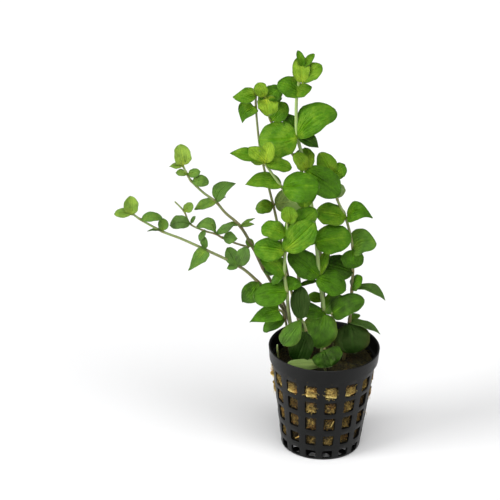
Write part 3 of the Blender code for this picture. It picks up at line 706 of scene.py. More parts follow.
def wool_material(name, strands):
    """Damp rockwool: ochre fibres over brown painted shade in its hollows, with rusty and straw-coloured
    patches.
    """
    if name in bpy.data.materials:
        return bpy.data.materials[name]
    wool = bpy.context.scene.jenny_wool
    surface, tree, shader = principled(name, {"Specular IOR Level": 0.3})
    light, painted_shade, earthy, _ = channels(tree, "wool")
    mottled = group_node(tree, mottling_group(), {"Scale": 330.0, "Grain": 3800.0, "Shift": 1.7})
    grain = mottled.outputs["Grain"]

    place = add_node(tree, "ShaderNodeTexCoord").outputs["Object"]
    warp = add_node(tree, "ShaderNodeTexNoise", {"Vector": place, "Scale": 260.0, "Detail": 2.0})
    bent = add_node(tree, "ShaderNodeVectorMath", {0: warp.outputs["Color"], 1: (0.006, 0.006, 0.006)},
                    operation="MULTIPLY")
    bent = add_node(tree, "ShaderNodeVectorMath", {0: place, 1: bent.outputs[0]}, operation="ADD")
    threads = add_node(tree, "ShaderNodeTexWave", {
        "Vector": bent.outputs[0], "Scale": 420.0, "Distortion": 9.0, "Detail": 3.0, "Detail Scale": 2.2},
        wave_type="BANDS", bands_direction="DIAGONAL").outputs["Fac"]

    tone = plus(tree, times(tree, threads, 0.42), times(tree, mottled.outputs["Patches"], 0.34))
    # Painted light and pale fibres, in the first mark, lighten the tone; painted shade, the second, darkens
    # it
    tone = plus(tree, tone, times(tree, light, 0.42))
    tone = calculate(tree, "SUBTRACT", tone, times(tree, painted_shade, 0.6), clamp=True)
    dark, body, pale = (Vector(shade) for shade in (wool.dark_colour, wool.body_colour, wool.light_colour))
    colour = colour_ramp(tree, tone, (
        (0.0, dark), (0.28, dark.lerp(body, 0.55)), (0.5, body), (0.75, body.lerp(pale, 0.55)), (1.0, pale)))
    rust = add_node(tree, "ShaderNodeTexNoise", {"Vector": place, "Scale": 190.0, "Detail": 2.0})
    rusty = in_range(tree, rust.outputs["Fac"], 0.5, 0.68, 0.0, 0.55)
    colour = mix_colours(tree, rusty, colour, (1.25, 0.72, 0.45), "MULTIPLY")
    colour = mix_colours(tree, earthy, colour, (0.14, 0.21, 0.21), "MULTIPLY")
    tree.links.new(colour, shader.inputs["Base Color"])
    tree.links.new(in_range(tree, grain, 0.2, 0.8, 0.75, 1.0), shader.inputs["Roughness"])
    if not strands:
        bump(tree, shader, plus(tree, threads, grain), 0.35 * MM)
    return surface


def plastic_material():
    """The pot's black plastic: satin, faintly grained and a little dusty."""
    if "Pot plastic" in bpy.data.materials:
        return bpy.data.materials["Pot plastic"]
    pot = bpy.context.scene.jenny_pot
    surface, tree, shader = principled("Pot plastic", {"Specular IOR Level": 0.18})
    mottled = group_node(tree, mottling_group(), {"Scale": 120.0, "Grain": 5200.0, "Shift": 5.0})
    dust = times(tree, mottled.outputs["Patches"], mottled.outputs["Grain"])
    dust = in_range(tree, dust, 0.15, 0.75, 0.0, 0.4)
    colour = mix_colours(tree, dust, tuple(pot.colour), tuple(pot.dust_colour))
    tree.links.new(colour, shader.inputs["Base Color"])
    tree.links.new(in_range(tree, dust, 0.0, 0.4, 0.36, 0.55), shader.inputs["Roughness"])
    bump(tree, shader, mottled.outputs["Grain"], 0.04 * MM)
    return surface


def finished_mesh(name, shape):
    """Turn a bmesh into a mesh and free it."""
    mesh = bpy.data.meshes.new(name)
    shape.to_mesh(mesh)
    shape.free()
    return mesh


def new_object(name, data):
    """A new object in the scene."""
    made = bpy.data.objects.new(name, data)
    bpy.context.scene.collection.objects.link(made)
    return made


def add_piece(name, shape, surfaces, nodes, sharp=180):
    """Make a finished bmesh a piece of the model, riding on the plant's one body."""
    missing = [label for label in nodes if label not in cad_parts]
    if missing or not shape.faces:
        raise RuntimeError(f"{name} can't be made: no faces, or no node {missing}")
    mesh = finished_mesh(name, shape)
    mesh.shade_smooth()
    mesh.set_sharp_from_angle(angle=math.radians(sharp))
    for surface in surfaces:
        mesh.materials.append(surface)
    piece = new_object(name, mesh)
    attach(piece, "root")
    if nodes:
        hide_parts(*nodes)
    return piece


def plant_shape():
    """An empty bmesh whose points can carry a plant's growth and their place on a leaf."""
    shape = bmesh.new()
    shape.verts.layers.float_color.new("growth")
    shape.verts.layers.float_vector.new("blade")
    return shape


def join_shape(whole, extra):
    """Add one bmesh to another."""
    mesh = finished_mesh("part of a shoot", extra)
    whole.from_mesh(mesh)
    bpy.data.meshes.remove(mesh)


def stem_radius(plant, index):
    """A stem's radius at one of its joints."""
    share = index / (len(plant.joints) - 1)
    return plant.foot_radius + (plant.tip_radius - plant.foot_radius) * share


def stem_direction(plant, index):
    """The way a stem runs at one of its joints."""
    before = plant.joints[max(index - 1, 0)].place
    after = plant.joints[min(index + 1, len(plant.joints) - 1)].place
    return (after - before).normalized()


def smooth_path(points, steps):
    """Points on a smooth curve through the given ones, with each one's place counted in given points."""
    path = []
    last = len(points) - 1
    for index in range(last):
        before = points[max(index - 1, 0)]
        first = points[index]
        second = points[index + 1]
        after = points[min(index + 2, last)]
        for step in range(steps):
            share = step / steps
            bend = 2 * first + (second - before) * share
            bend += (2 * before - 5 * first + 4 * second - after) * share ** 2
            bend += (3 * first - before - 3 * second + after) * share ** 3
            path.append((bend / 2, index + share))
    path.append((points[last], float(last)))
    return path


def ring_frame(place, line, before=None):
    """A frame at a place, its Z along the line, turned as little as can be from the frame before."""
    if before is None:
        turned = line.to_track_quat("Z", "Y").to_matrix()
    else:
        old = before.to_3x3()
        turned = old.col[2].rotation_difference(line).to_matrix() @ old
    return Matrix.Translation(place) @ turned.to_4x4()


def extrude_line(shape, edges):
    """Extrude a line of edges in place. Returns its new points and the edges between them."""
    made = bmesh.ops.extrude_edge_only(shape, edges=edges)["geom"]
    verts = [item for item in made if isinstance(item, bmesh.types.BMVert)]
    members = set(verts)
    return verts, [item for item in made if isinstance(item, bmesh.types.BMEdge)
                   and item.verts[0] in members and item.verts[1] in members]


def add_tube(shape, path, radii, sides):
    """A round closed tube along a path. Returns its rings of points, the first one at its foot."""
    lines = [(path[min(k + 1, len(path) - 1)] - path[max(k - 1, 0)]).normalized() for k in range(len(path))]
    current = ring_frame(path[0], lines[0])
    made = bmesh.ops.create_circle(shape, cap_ends=True, segments=sides, radius=1.0,
                                   matrix=Matrix.Identity(4))
    ring = made["verts"]
    place = current @ Matrix.Scale(radii[0], 4)
    bmesh.ops.transform(shape, matrix=place, verts=ring)
    rings = [ring]
    edges = [edge for edge in shape.edges if edge.verts[0] in ring and edge.verts[1] in ring]
    for index in range(1, len(path)):
        current = ring_frame(path[index], lines[index], current)
        target = current @ Matrix.Scale(radii[index], 4)
        ring, edges = extrude_line(shape, edges)
        bmesh.ops.transform(shape, matrix=target @ place.inverted(), verts=ring)
        place = target
        rings.append(ring)
    bmesh.ops.edgeloop_fill(shape, edges=edges)
    return rings


def stem_shape(plant):
    """A stem as a smooth tube through its joints, rooted in the rockwool and swollen at its nodes."""
    settings = bpy.context.scene.jenny_plant
    points = [spot.place for spot in plant.joints]
    rooted = plant.name != "twig"
    if rooted:
        points = [points[0] - Vector((0, 0, ROOT_DEPTH))] + points
    path = smooth_path(points, STEPS_PER_JOINT)
    tip_line = stem_direction(plant, len(plant.joints) - 1)
    places = []
    radii = []
    leafy = [spot.place for spot in plant.joints if spot.leaves]
    nodes = []
    for place, count in path:
        along = max(count - 1, 0) if rooted else count
        share = along / (len(plant.joints) - 1)
        radius = plant.foot_radius + (plant.tip_radius - plant.foot_radius) * share
        near = max([math.exp(-((place - spot).length / NODE_REACH) ** 2) for spot in leafy] or [0.0])
        places.append(place)
        radii.append(radius * (1 + settings.node_swelling * near))
        nodes.append((share, near))
    for reach, thinned in TIP_ROUNDING:
        places.append(points[-1] + tip_line * plant.tip_radius * reach)
        radii.append(plant.tip_radius * thinned)
        nodes.append((1.0, 0.0))
    shape = plant_shape()
    growth = shape.verts.layers.float_color["growth"]
    foot_age, tip_age = plant.youth
    for ring, (share, near) in zip(add_tube(shape, places, radii, TUBE_SIDES), nodes):
        for vert in ring:
            vert[growth] = (foot_age + (tip_age - foot_age) * share, 0.5, near, 0.0)
    bmesh.ops.recalc_face_normals(shape, faces=shape.faces)
    return shape


def outline(blade, stalk):
    """Each row of a leaf, from its stem to its tip: the share of its length and half its width."""
    stalk_share = min(0.12, STALK_LENGTH / blade.length)
    rows = [(stalk_share * row / STALK_ROWS, stalk / 2 * (1.2 - 0.2 * row / STALK_ROWS))
            for row in range(STALK_ROWS)]
    for row in range(BLADE_ROWS + 1):
        share = (1 - math.cos(math.pi * row / BLADE_ROWS)) / 2
        from_middle = 2 * share ** blade.widest - 1
        roundness = blade.base if from_middle < 0 else blade.tip
        half = blade.width / 2 * max(1 - abs(from_middle) ** roundness, 0.0) ** (1 / roundness)
        if row < BLADE_ROWS / 2:
            half = max(half, stalk / 2)
        rows.append((stalk_share + (1 - stalk_share) * share, half))
    return rows


def thicken(shape, thickness, growth):
    """Give a thin sheet its underside, marked as such, and close the rim between the two."""
    shape.normal_update()
    sheet = shape.verts[:] + shape.edges[:] + shape.faces[:]
    rim = [edge for edge in shape.edges if edge.is_boundary]
    copied = bmesh.ops.duplicate(shape, geom=sheet)
    lower = copied["vert_map"]
    for vert in [item for item in sheet if isinstance(item, bmesh.types.BMVert)]:
        under = lower[vert]
        under.co = vert.co - vert.normal * thickness
        under[growth] = (*vert[growth][:2], 1.0, vert[growth][3])
    below = [item for item in copied["geom"] if isinstance(item, bmesh.types.BMFace)]
    bmesh.ops.reverse_faces(shape, faces=below)
    rim += [edge for edge in shape.edges if edge.is_boundary and edge not in rim]
    bmesh.ops.bridge_loops(shape, edges=rim)
    bmesh.ops.recalc_face_normals(shape, faces=shape.faces)


def leaf_shape(plant, index, number):
    """A leaf: a grid bent to its outline, then arched, cupped and waved, and given a thickness."""
    settings = bpy.context.scene.jenny_plant
    blade = plant.joints[index].leaves[number]
    chance = random.Random(f"{plant.name} {index} {number}")
    place = plant.joints[index].place
    stem_line = stem_direction(plant, index)
    radius = stem_radius(plant, index)
    outward = (blade.direction - blade.direction.dot(stem_line) * stem_line).normalized()
    faced = blade.face - blade.face.dot(stem_line) * stem_line
    beyond = max(blade.clasp - ROUND_CLASP, 0.0)
    start = place + outward * radius * (0.5 - 2 * beyond) + faced * radius * blade.clasp
    if index == len(plant.joints) - 1:
        start -= stem_line * plant.tip_radius
    chord = place + blade.direction * blade.length - start
    along = chord.normalized()
    face = (blade.face - blade.face.dot(along) * along).normalized()
    across = along.cross(face)
    rows = outline(blade, min(settings.stalk_width, blade.width * 0.3))
    last = len(rows) - 1
    shape = plant_shape()
    growth = shape.verts.layers.float_color["growth"]
    spot = shape.verts.layers.float_vector["blade"]
    bmesh.ops.create_grid(shape, x_segments=BLADE_COLUMNS, y_segments=last, size=1.0)
    seed = chance.uniform(0, 50)
    waves = chance.uniform(1.3, 2.2)
    phase = chance.uniform(0, math.tau)
    luck = chance.random()
    sway = blade.sway + chance.uniform(-0.035, 0.035)
    twist = chance.uniform(-0.15, 0.15)
    uneven = chance.uniform(-0.08, 0.08)
    cup = blade.cup + chance.uniform(-0.06, 0.06)
    # How much the upper face takes a painted grey sheen
    haze = plant.haze if blade.haze is None else blade.haze
    for vert in shape.verts:
        side = vert.co.x
        share, half = rows[round((vert.co.y + 1) / 2 * last)]
        flank = side * side
        fullness = half / (blade.width / 2)
        rise = blade.arch * 4 * share * (1 - share) - blade.curl * max(share - 0.55, 0.0) ** 2 * 1.5
        lift = cup * flank * half + blade.fold * (math.sqrt(flank + 0.01) - 0.1) * half
        lift += twist * side * half * share
        lift += blade.wave * blade.width / 2 * flank * math.sin(math.tau * waves * share + phase + 1.7 * side)
        lift += FACE_LUMPS * half * noise.noise(Vector((side * 2.0 + seed, share * 3.6, seed)))
        fan = VEINS_ASIDE * side / (FAN_START + (1 - FAN_START) * share ** FAN_POWER)
        lift += settings.quilting * half * math.sin(math.pi * fan) ** 2 * (1 - flank * flank)
        drift = sway * 4 * share * (1 - share) * chord.length
        waver = MARGIN_WAVER * noise.noise(Vector((share * 5, side + seed, 1)))
        margin = half * (1 + uneven * side + waver)
        vert[growth] = (blade.age + 0.05 * (1 - share), luck, haze, blade.worn)
        vert[spot] = (side, share, 0.0)
        share -= settings.lobes * flank * fullness * (1 - share) ** 3
        vert.co = start + chord * share + across * (side * margin + drift)
        vert.co += face * (rise * chord.length + lift)
    bmesh.ops.remove_doubles(shape, verts=shape.verts, dist=WELD)
    thicken(shape, settings.leaf_thickness, growth)
    return shape


def own_leaves(plant):
    """The leaves that are pieces of their own, as (joint, leaf), in the order of their numbers."""
    return [(index, number) for index, spot in enumerate(plant.joints)
            for number, blade in enumerate(spot.leaves) if blade.length >= OWN_LEAF_LENGTH]


def bud_leaves(plant):
    """Two folded leaflets that close the tip of a stem."""
    line = stem_direction(plant, len(plant.joints) - 1)
    aside = line.orthogonal().normalized()
    leaves = []
    for turn in (0.6, 3.7):
        out = aside.copy()
        out.rotate(Matrix.Rotation(turn, 3, line))
        direction = (line + out * 0.35).normalized()
        leaves.append(Leaf(
            direction=direction, length=BUD_LENGTH, width=BUD_WIDTH, face=line - out * 2,
            age=min(plant.youth[1] + 0.05, 1.0), fold=0.5, arch=0.1, curl=0.0, wave=0.0, sway=0.0, base=2.0,
            tip=1.6, widest=0.88, cup=0.1, clasp=0.0, worn=0.0, haze=0.0))
    return leaves


def make_shoots():
    """Every stem with its short leaves and its tip bud, each in place of one stem of the CAD."""
    for plant in SHOOTS:
        whole = stem_shape(plant)
        for item in whole.faces:
            item.material_index = 0
        if plant.youth[1] >= BUDDING_AGE:
            tip = plant.joints[-1]
            budded = Joint(tip.place, tip.leaves + tuple(bud_leaves(plant)))
            plant = plant._replace(joints=plant.joints[:-1] + (budded,))
        separate = own_leaves(plant)
        for index, spot in enumerate(plant.joints):
            for number in range(len(spot.leaves)):
                if (index, number) not in separate:
                    extra = leaf_shape(plant, index, number)
                    for item in extra.faces:
                        item.material_index = 1
                    join_shape(whole, extra)
        add_piece("shoot_" + plant.name, whole, (stem_material(), leaf_material()),
                  ("stem_" + plant.name,), sharp=PLANT_CREASE)


def make_blades():
    """Every long leaf, each in place of one leaf of the CAD."""
    for plant in SHOOTS:
        for count, (index, number) in enumerate(own_leaves(plant), 1):
            add_piece(f"blade_{plant.name}_{count}", leaf_shape(plant, index, number), (leaf_material(),),
                      (f"leaf_{plant.name}_{count}",), sharp=PLANT_CREASE)


def wall_radius(height):
    """The radius of the outside of the pot's wall at a height."""
    return BASE_RADIUS + WALL_FLARE * height


def column_place(angle):
    """Where an angle lies in its column of windows: 0 in the middle, 1 at a window's edge."""
    offset = (angle - FIRST_WINDOW) % COLUMN_ANGLE
    return min(offset, COLUMN_ANGLE - offset) / (WINDOW_ANGLE / 2)


def row_place(height):
    """Where a height lies in the nearest row of windows: -1 at its lower edge, 1 at its upper edge."""
    places = [(height / MM - (low + high) / 2) / ((high - low) / 2) for low, high in WINDOW_ROWS]
    return min(places, key=abs)


def angle_round(point):
    """An angle seen from above, 0 at the front and growing to the right."""
    return math.atan2(point.x, -point.y)


def way_out(angle):
    """The level direction away from the axis at an angle round the pot."""
    return Vector((math.sin(angle), -math.cos(angle), 0.0))


def way_round(angle):
    """The level direction round the axis at an angle, to the right at the front."""
    return Vector((math.cos(angle), math.sin(angle), 0.0))


def window_fill(point):
    """How well the rockwool fills the nearest window: 0 sinks back, darkened by painted shade, 1 swells out
    of it.
    """
    column = round((angle_round(point) - FIRST_WINDOW) / COLUMN_ANGLE)
    distances = [abs(point.z / MM - (low + high) / 2) for low, high in WINDOW_ROWS[1:]]
    row = distances.index(min(distances))
    if 0 <= column - LEFT_COLUMN < len(FRONT_FILL[row]):
        return FRONT_FILL[row][column - LEFT_COLUMN]
    return random.Random(f"{row} {column % COLUMNS}").uniform(0.15, 0.9)


def profile_line(shell, profile):
    """A line of points at the front, from their radii and heights. Returns the points and the edges."""
    verts = [shell.verts.new((0.0, -radius, height)) for radius, height in profile]
    return verts, [shell.edges.new(pair) for pair in zip(verts, verts[1:])]


def close_skin(shell):
    """Weld a turned skin's seam and its points on the axis, and turn its faces outwards."""
    bmesh.ops.remove_doubles(shell, verts=shell.verts, dist=WELD)
    bmesh.ops.recalc_face_normals(shell, faces=shell.faces)


def pot_profile():
    """The pot's outside from the middle of its base to its rim, as radii and heights."""
    profile = [(0.0, 0.0), (6 * MM, 0.0), (SLOT_INNER_RADIUS, 0.0), (SLOT_OUTER_RADIUS, 0.0),
               (BASE_RADIUS - 0.7 * MM, 0.0), (BASE_RADIUS - 0.1 * MM, 0.45 * MM)]
    profile += [(wall_radius(height * MM), height * MM) for row in WINDOW_ROWS for height in row]
    return profile + [
        (wall_radius(COLLAR_BOTTOM), COLLAR_BOTTOM),
        (COLLAR_RADIUS - 0.1 * MM, COLLAR_BOTTOM + 0.35 * MM),
        (COLLAR_RADIUS + 0.02 * MM, COLLAR_BOTTOM + 0.9 * MM),
        (RIM_RADIUS - 0.1 * MM, POT_HEIGHT - 1.2 * MM),
        (RIM_RADIUS, POT_HEIGHT - 0.35 * MM),
        (RIM_RADIUS - 0.25 * MM, POT_HEIGHT)]


def is_window_corner(point):
    """Whether a point is at the corner of a window in the wall or of a slot in the base."""
    in_wall = abs(abs(row_place(point.z)) - 1) < 0.001 and point.xy.length > BASE_RADIUS
    from_slot = min(abs(point.xy.length - radius) for radius in (SLOT_INNER_RADIUS, SLOT_OUTER_RADIUS))
    on_slot = from_slot < WELD and point.z < WELD
    return abs(column_place(angle_round(point)) - 1) < 0.001 and (in_wall or on_slot)


def is_in_window(point):
    """Whether the middle of a face is inside a window in the wall or a slot in the base."""
    in_wall = abs(row_place(point.z)) < 0.9 and point.z > WINDOW_ROWS[0][0] * MM
    in_slot = SLOT_INNER_RADIUS + MM < point.xy.length < SLOT_OUTER_RADIUS - MM and point.z < WELD
    return column_place(angle_round(point)) <= 0.97 and (in_wall or in_slot)


def make_net_pot():
    """The net pot: a turned skin whose windows have rounded corners, given a thickness and soft edges."""
    settings = bpy.context.scene.jenny_pot
    shell = bmesh.new()
    verts, edges = profile_line(shell, pot_profile())
    start = FIRST_WINDOW - WINDOW_ANGLE / 2
    bmesh.ops.rotate(shell, verts=verts, cent=(0, 0, 0), matrix=Matrix.Rotation(start, 3, "Z"))
    rib_angle = COLUMN_ANGLE - WINDOW_ANGLE
    window_steps = [WINDOW_ANGLE / STEPS_PER_WINDOW] * STEPS_PER_WINDOW
    rib_steps = [rib_angle / STEPS_PER_RIB] * STEPS_PER_RIB
    for step in (window_steps + rib_steps) * COLUMNS:
        verts, edges = extrude_line(shell, edges)
        bmesh.ops.rotate(shell, verts=verts, cent=(0, 0, 0), matrix=Matrix.Rotation(step, 3, "Z"))
    close_skin(shell)
    corners = [vert for vert in shell.verts if is_window_corner(vert.co)]
    bmesh.ops.bevel(shell, geom=corners, offset=settings.window_corner, segments=3, profile=0.5,
                    affect="VERTICES", material=-1, clamp_overlap=True)
    openings = [item for item in shell.faces if is_in_window(item.calc_center_median())]
    bmesh.ops.delete(shell, geom=openings, context="FACES")
    pot = add_piece("net_pot", shell, (plastic_material(),), ("pot",), sharp=POT_CREASE)
    wall = pot.modifiers.new("Wall thickness", "SOLIDIFY")
    wall.thickness = settings.plastic
    wall.offset = -1.0
    wall.use_even_offset = True
    soft = pot.modifiers.new("Soft edges", "BEVEL")
    soft.width = settings.edge
    soft.segments = 2
    soft.limit_method = "ANGLE"
    soft.angle_limit = math.radians(POT_CREASE)


def window_swelling(point):
    """How far the rockwool swells here towards a window, from 0 at the ribs to 1 in a window's middle."""
    if point.z < WINDOW_ROWS[0][1] * MM + 1.5 * MM:
        return 0.0
    across = column_place(angle_round(point))
    up = abs(row_place(point.z))
    return max(1 - across ** 4, 0.0) * max(1 - up ** 4, 0.0)


def wool_top(spot, brow):
    """How a point on top of the rockwool moves, and its marks: painted light, painted shade and earthy."""
    edge = max(spot.xy.length / brow - 0.75, 0.0) * 4
    height = lumps_at(spot) * 1.6 - 0.8 * MM * edge ** 2
    return Vector((0, 0, height)), (0.0, 0.35, 0.95, 1.0)


def wool_side(spot):
    """How a point on the rockwool's side moves, and its marks: painted light, painted shade and earthy."""
    coarse = noise.noise(spot * COARSE_LUMPS + LUMP_SHIFT)
    fine = noise.noise(spot * FINE_LUMPS)
    swelling = window_swelling(spot)
    fill = window_fill(spot)
    lip = row_place(spot.z)
    # Painted light: each window's bulging lower lip is paler, as if lit from above, and most in the top row
    ledge = 1.5 if spot.z > WINDOW_ROWS[-1][0] * MM else 0.35
    lit = max(0.0, 1 - abs(lip + 0.66) / 0.3) * ledge * fill * (0.8 + coarse)
    pit = max(0.0, -fine - 0.08) * 2.2
    bulge = bpy.context.scene.jenny_wool.bulge
    depth = bulge * swelling * fill * (0.75 + 0.5 * coarse) + lumps_at(spot) * (0.25 + 0.75 * swelling)
    depth += (0.45 * lit * swelling ** 0.5 - 0.9 * pit * swelling - 1.3 * (1 - fill) ** 2 * swelling) * MM
    # Painted shade: darker in pits, under each window's top, towards the ribs and where the wool sinks back
    painted_shade = 1 - swelling * (0.15 + 0.85 * fill) + pit + max(0.0, lip - 0.35) * 0.9
    outward = Vector((spot.x, spot.y, 0.0)).normalized()
    return outward * depth, (max(lit, 0.0), max(min(painted_shade, 1.0) - lit, 0.0), 0.0, 1.0)


def lumps_at(spot):
    """The height of the rockwool's lumps at a point."""
    rough = 0.9 * noise.noise(spot * COARSE_LUMPS + LUMP_SHIFT)
    rough += 0.6 * noise.noise(spot * FINE_LUMPS) + 0.3 * noise.noise(spot * FINEST_LUMPS)
    return bpy.context.scene.jenny_wool.lumps * rough


def make_rockwool():
    """The plug of rockwool: a turned skin that swells into the windows, with lumps all over."""
    inset = bpy.context.scene.jenny_pot.plastic + 0.35 * MM
    brow = wall_radius(WOOL_TOP) - inset
    profile = [(wall_radius(WOOL_BOTTOM) * share, WOOL_BOTTOM) for share in (0.0, 0.3, 0.6, 0.85)]
    for level in range(WOOL_LEVELS + 1):
        height = WOOL_BOTTOM + 0.6 * MM + (WOOL_TOP - 1.3 * MM - WOOL_BOTTOM) * level / WOOL_LEVELS
        profile.append((wall_radius(height) - inset, height))
    profile += [(brow * share, WOOL_TOP)
                for share in (0.965, 0.9, 0.82, 0.74, 0.66, 0.58, 0.5, 0.42, 0.34, 0.26, 0.17, 0.08, 0.0)]
    shell = bmesh.new()
    marks = shell.verts.layers.float_color.new("wool")
    verts, edges = profile_line(shell, profile)
    bmesh.ops.spin(shell, geom=verts + edges, cent=(0, 0, 0), axis=(0, 0, 1), angle=math.tau,
                   steps=WOOL_STEPS_ROUND, use_merge=True, use_duplicate=False)
    close_skin(shell)
    for vert in shell.verts:
        on_top = vert.co.z > WOOL_TOP - 0.1 * MM
        shift, vert[marks] = wool_top(vert.co, brow) if on_top else wool_side(vert.co)
        vert.co += shift
    add_piece("wool_plug", shell, (wool_material("Rockwool", False),), ("rockwool",))


def strands_shape(doublings, sides, rings):
    """Many straight unit strands in one bmesh, each point marked with its strand's number."""
    shape = bmesh.new()
    number = shape.verts.layers.int.new("strand")
    path = [Vector((0, 0, step / rings)) for step in range(rings + 1)]
    add_tube(shape, path, [1.0] * (rings + 1), sides)
    count = 1
    for _ in range(doublings):
        made = bmesh.ops.duplicate(shape, geom=shape.verts[:] + shape.edges[:] + shape.faces[:])["geom"]
        for item in made:
            if isinstance(item, bmesh.types.BMVert):
                item[number] += count
        count *= 2
    return shape, count


def fibre_line(chance, settings):
    """A loose fibre: its start, the three directions it curls in, its curl, thickness, tone and painted
    shade.
    """
    thick = settings.fibre_thickness * chance.uniform(0.5, 1.3) / 2
    turn = chance.uniform(0, math.tau)
    sweep = chance.choice((-1, 1)) * chance.uniform(0.5, 3.4)
    if chance.random() < TOP_SHARE:
        radius = TOP_RADIUS * math.sqrt(chance.random())
        angle = chance.uniform(0, math.tau)
        start = Vector((radius * math.sin(angle), -radius * math.cos(angle), WOOL_TOP - 0.3 * MM))
        ways = (Vector((1, 0, 0)), Vector((0, 1, 0)), Vector((0, 0, 1)))
        curl = (turn, sweep, chance.uniform(1.5, 5.0) * MM, chance.uniform(0.1, 1.0) * MM)
        # Fibres on top: a random tone, a little painted shade and mostly earthy
        return start, ways, curl, thick, (chance.uniform(0.0, 0.5), 0.2, 0.75, 1.0)
    low, high = chance.choice(WINDOW_ROWS[1:])
    across = chance.uniform(-0.85, 0.85)
    up = chance.uniform(-0.85, 0.7)
    angle = FIRST_WINDOW + COLUMN_ANGLE * chance.randrange(-7, 8) + across * WINDOW_ANGLE / 2
    height = ((low + high) / 2 + up * (high - low) / 2) * MM
    outward = way_out(angle)
    fill = window_fill(outward + Vector((0, 0, height)))
    swelling = (1 - across ** 4) * (1 - up ** 4) * fill
    radius = wall_radius(height) - 1.6 * MM + settings.bulge * swelling * 0.8
    ways = (way_round(angle), Vector((0, 0, 1)), outward)
    curl = (turn, sweep, chance.uniform(1.2, 3.4) * MM, chance.uniform(0.0, 0.5) * MM)
    # Painted shade: fibres in a window that the wool fills less are darker
    tone = chance.uniform(0.0, 0.8) * (0.3 + 0.7 * fill)
    return outward * radius + Vector((0, 0, height)), ways, curl, thick, (tone, 0.75 * (1 - fill), 0.0, 1.0)


def fibre_place(start, ways, curl, share):
    """A point of a curled fibre and the way that it runs there: an arc that lifts off in the middle."""
    turn, sweep, length, lift = curl
    here = turn + sweep * share
    point = start + ways[0] * (math.sin(here) - math.sin(turn)) * length / sweep
    point += ways[1] * (math.cos(turn) - math.cos(here)) * length / sweep
    point += ways[2] * lift * 4 * share * (1 - share)
    line = (ways[0] * math.cos(here) + ways[1] * math.sin(here)) * length + ways[2] * lift * (4 - 8 * share)
    return point, line.normalized()


def add_rootlets(shape, marks):
    """Thin pale roots that come out of the windows and hang, and bits of straw caught in others."""
    before = len(shape.verts)
    for number, (angle, height, length, droop) in enumerate(ROOTLETS):
        chance = random.Random(number)
        outward = way_out(math.radians(angle))
        sideways = way_round(math.radians(angle)) * chance.uniform(-0.5, 0.5)
        start = outward * (wall_radius(height * MM) - 1.5 * MM) + Vector((0, 0, height * MM))
        path = []
        for step in range(ROOTLET_STEPS + 1):
            share = step / ROOTLET_STEPS
            reach = outward * 3.2 * share * (1 - 0.45 * share) + sideways * share * length * 0.6
            path.append(start + (reach - Vector((0, 0, droop * length * share ** 2))) * MM)
        radii = [ROOTLET_RADIUS * (1 - 0.6 * step / ROOTLET_STEPS) for step in range(ROOTLET_STEPS + 1)]
        add_tube(shape, path, radii, sides=5)
    for angle, height, length, slope in STRAWS:
        outward = way_out(math.radians(angle))
        slanted = way_round(math.radians(angle)) * math.cos(math.radians(slope))
        slanted += Vector((0, 0, math.sin(math.radians(slope))))
        middle = outward * (wall_radius(height * MM) - 0.9 * MM) + Vector((0, 0, height * MM))
        path = [middle + slanted * length * MM * share for share in (-0.5, -0.2, 0.1, 0.5)]
        add_tube(shape, path, STRAW_RADII, sides=6)
    shape.verts.ensure_lookup_table()
    for vert in shape.verts[before:]:
        vert[marks] = (0.8, 0.0, 0.3, 1.0)


def make_wool_fibres():
    """The loose fibres: thin curved strands on top of the rockwool and in the windows."""
    settings = bpy.context.scene.jenny_wool
    shape, count = strands_shape(math.ceil(math.log2(settings.fibres)), sides=3, rings=4)
    number = shape.verts.layers.int["strand"]
    marks = shape.verts.layers.float_color.new("wool")
    chance = random.Random(FIBRE_SEED)
    lines = [fibre_line(chance, settings) for _ in range(count)]
    for vert in shape.verts:
        start, ways, curl, thick, mark = lines[vert[number]]
        share = vert.co.z
        point, line = fibre_place(start, ways, curl, share)
        aside = line.orthogonal().normalized()
        second = line.cross(aside)
        taper = thick * (1.0 - 0.7 * abs(2 * share - 1) ** 3)
        vert[marks] = mark
        vert.co = point + (aside * vert.co.x + second * vert.co.y) * taper
    add_rootlets(shape, marks)
    bmesh.ops.recalc_face_normals(shape, faces=shape.faces)
    add_piece("wool_fibres", shape, (wool_material("Rockwool strands", True),), ())


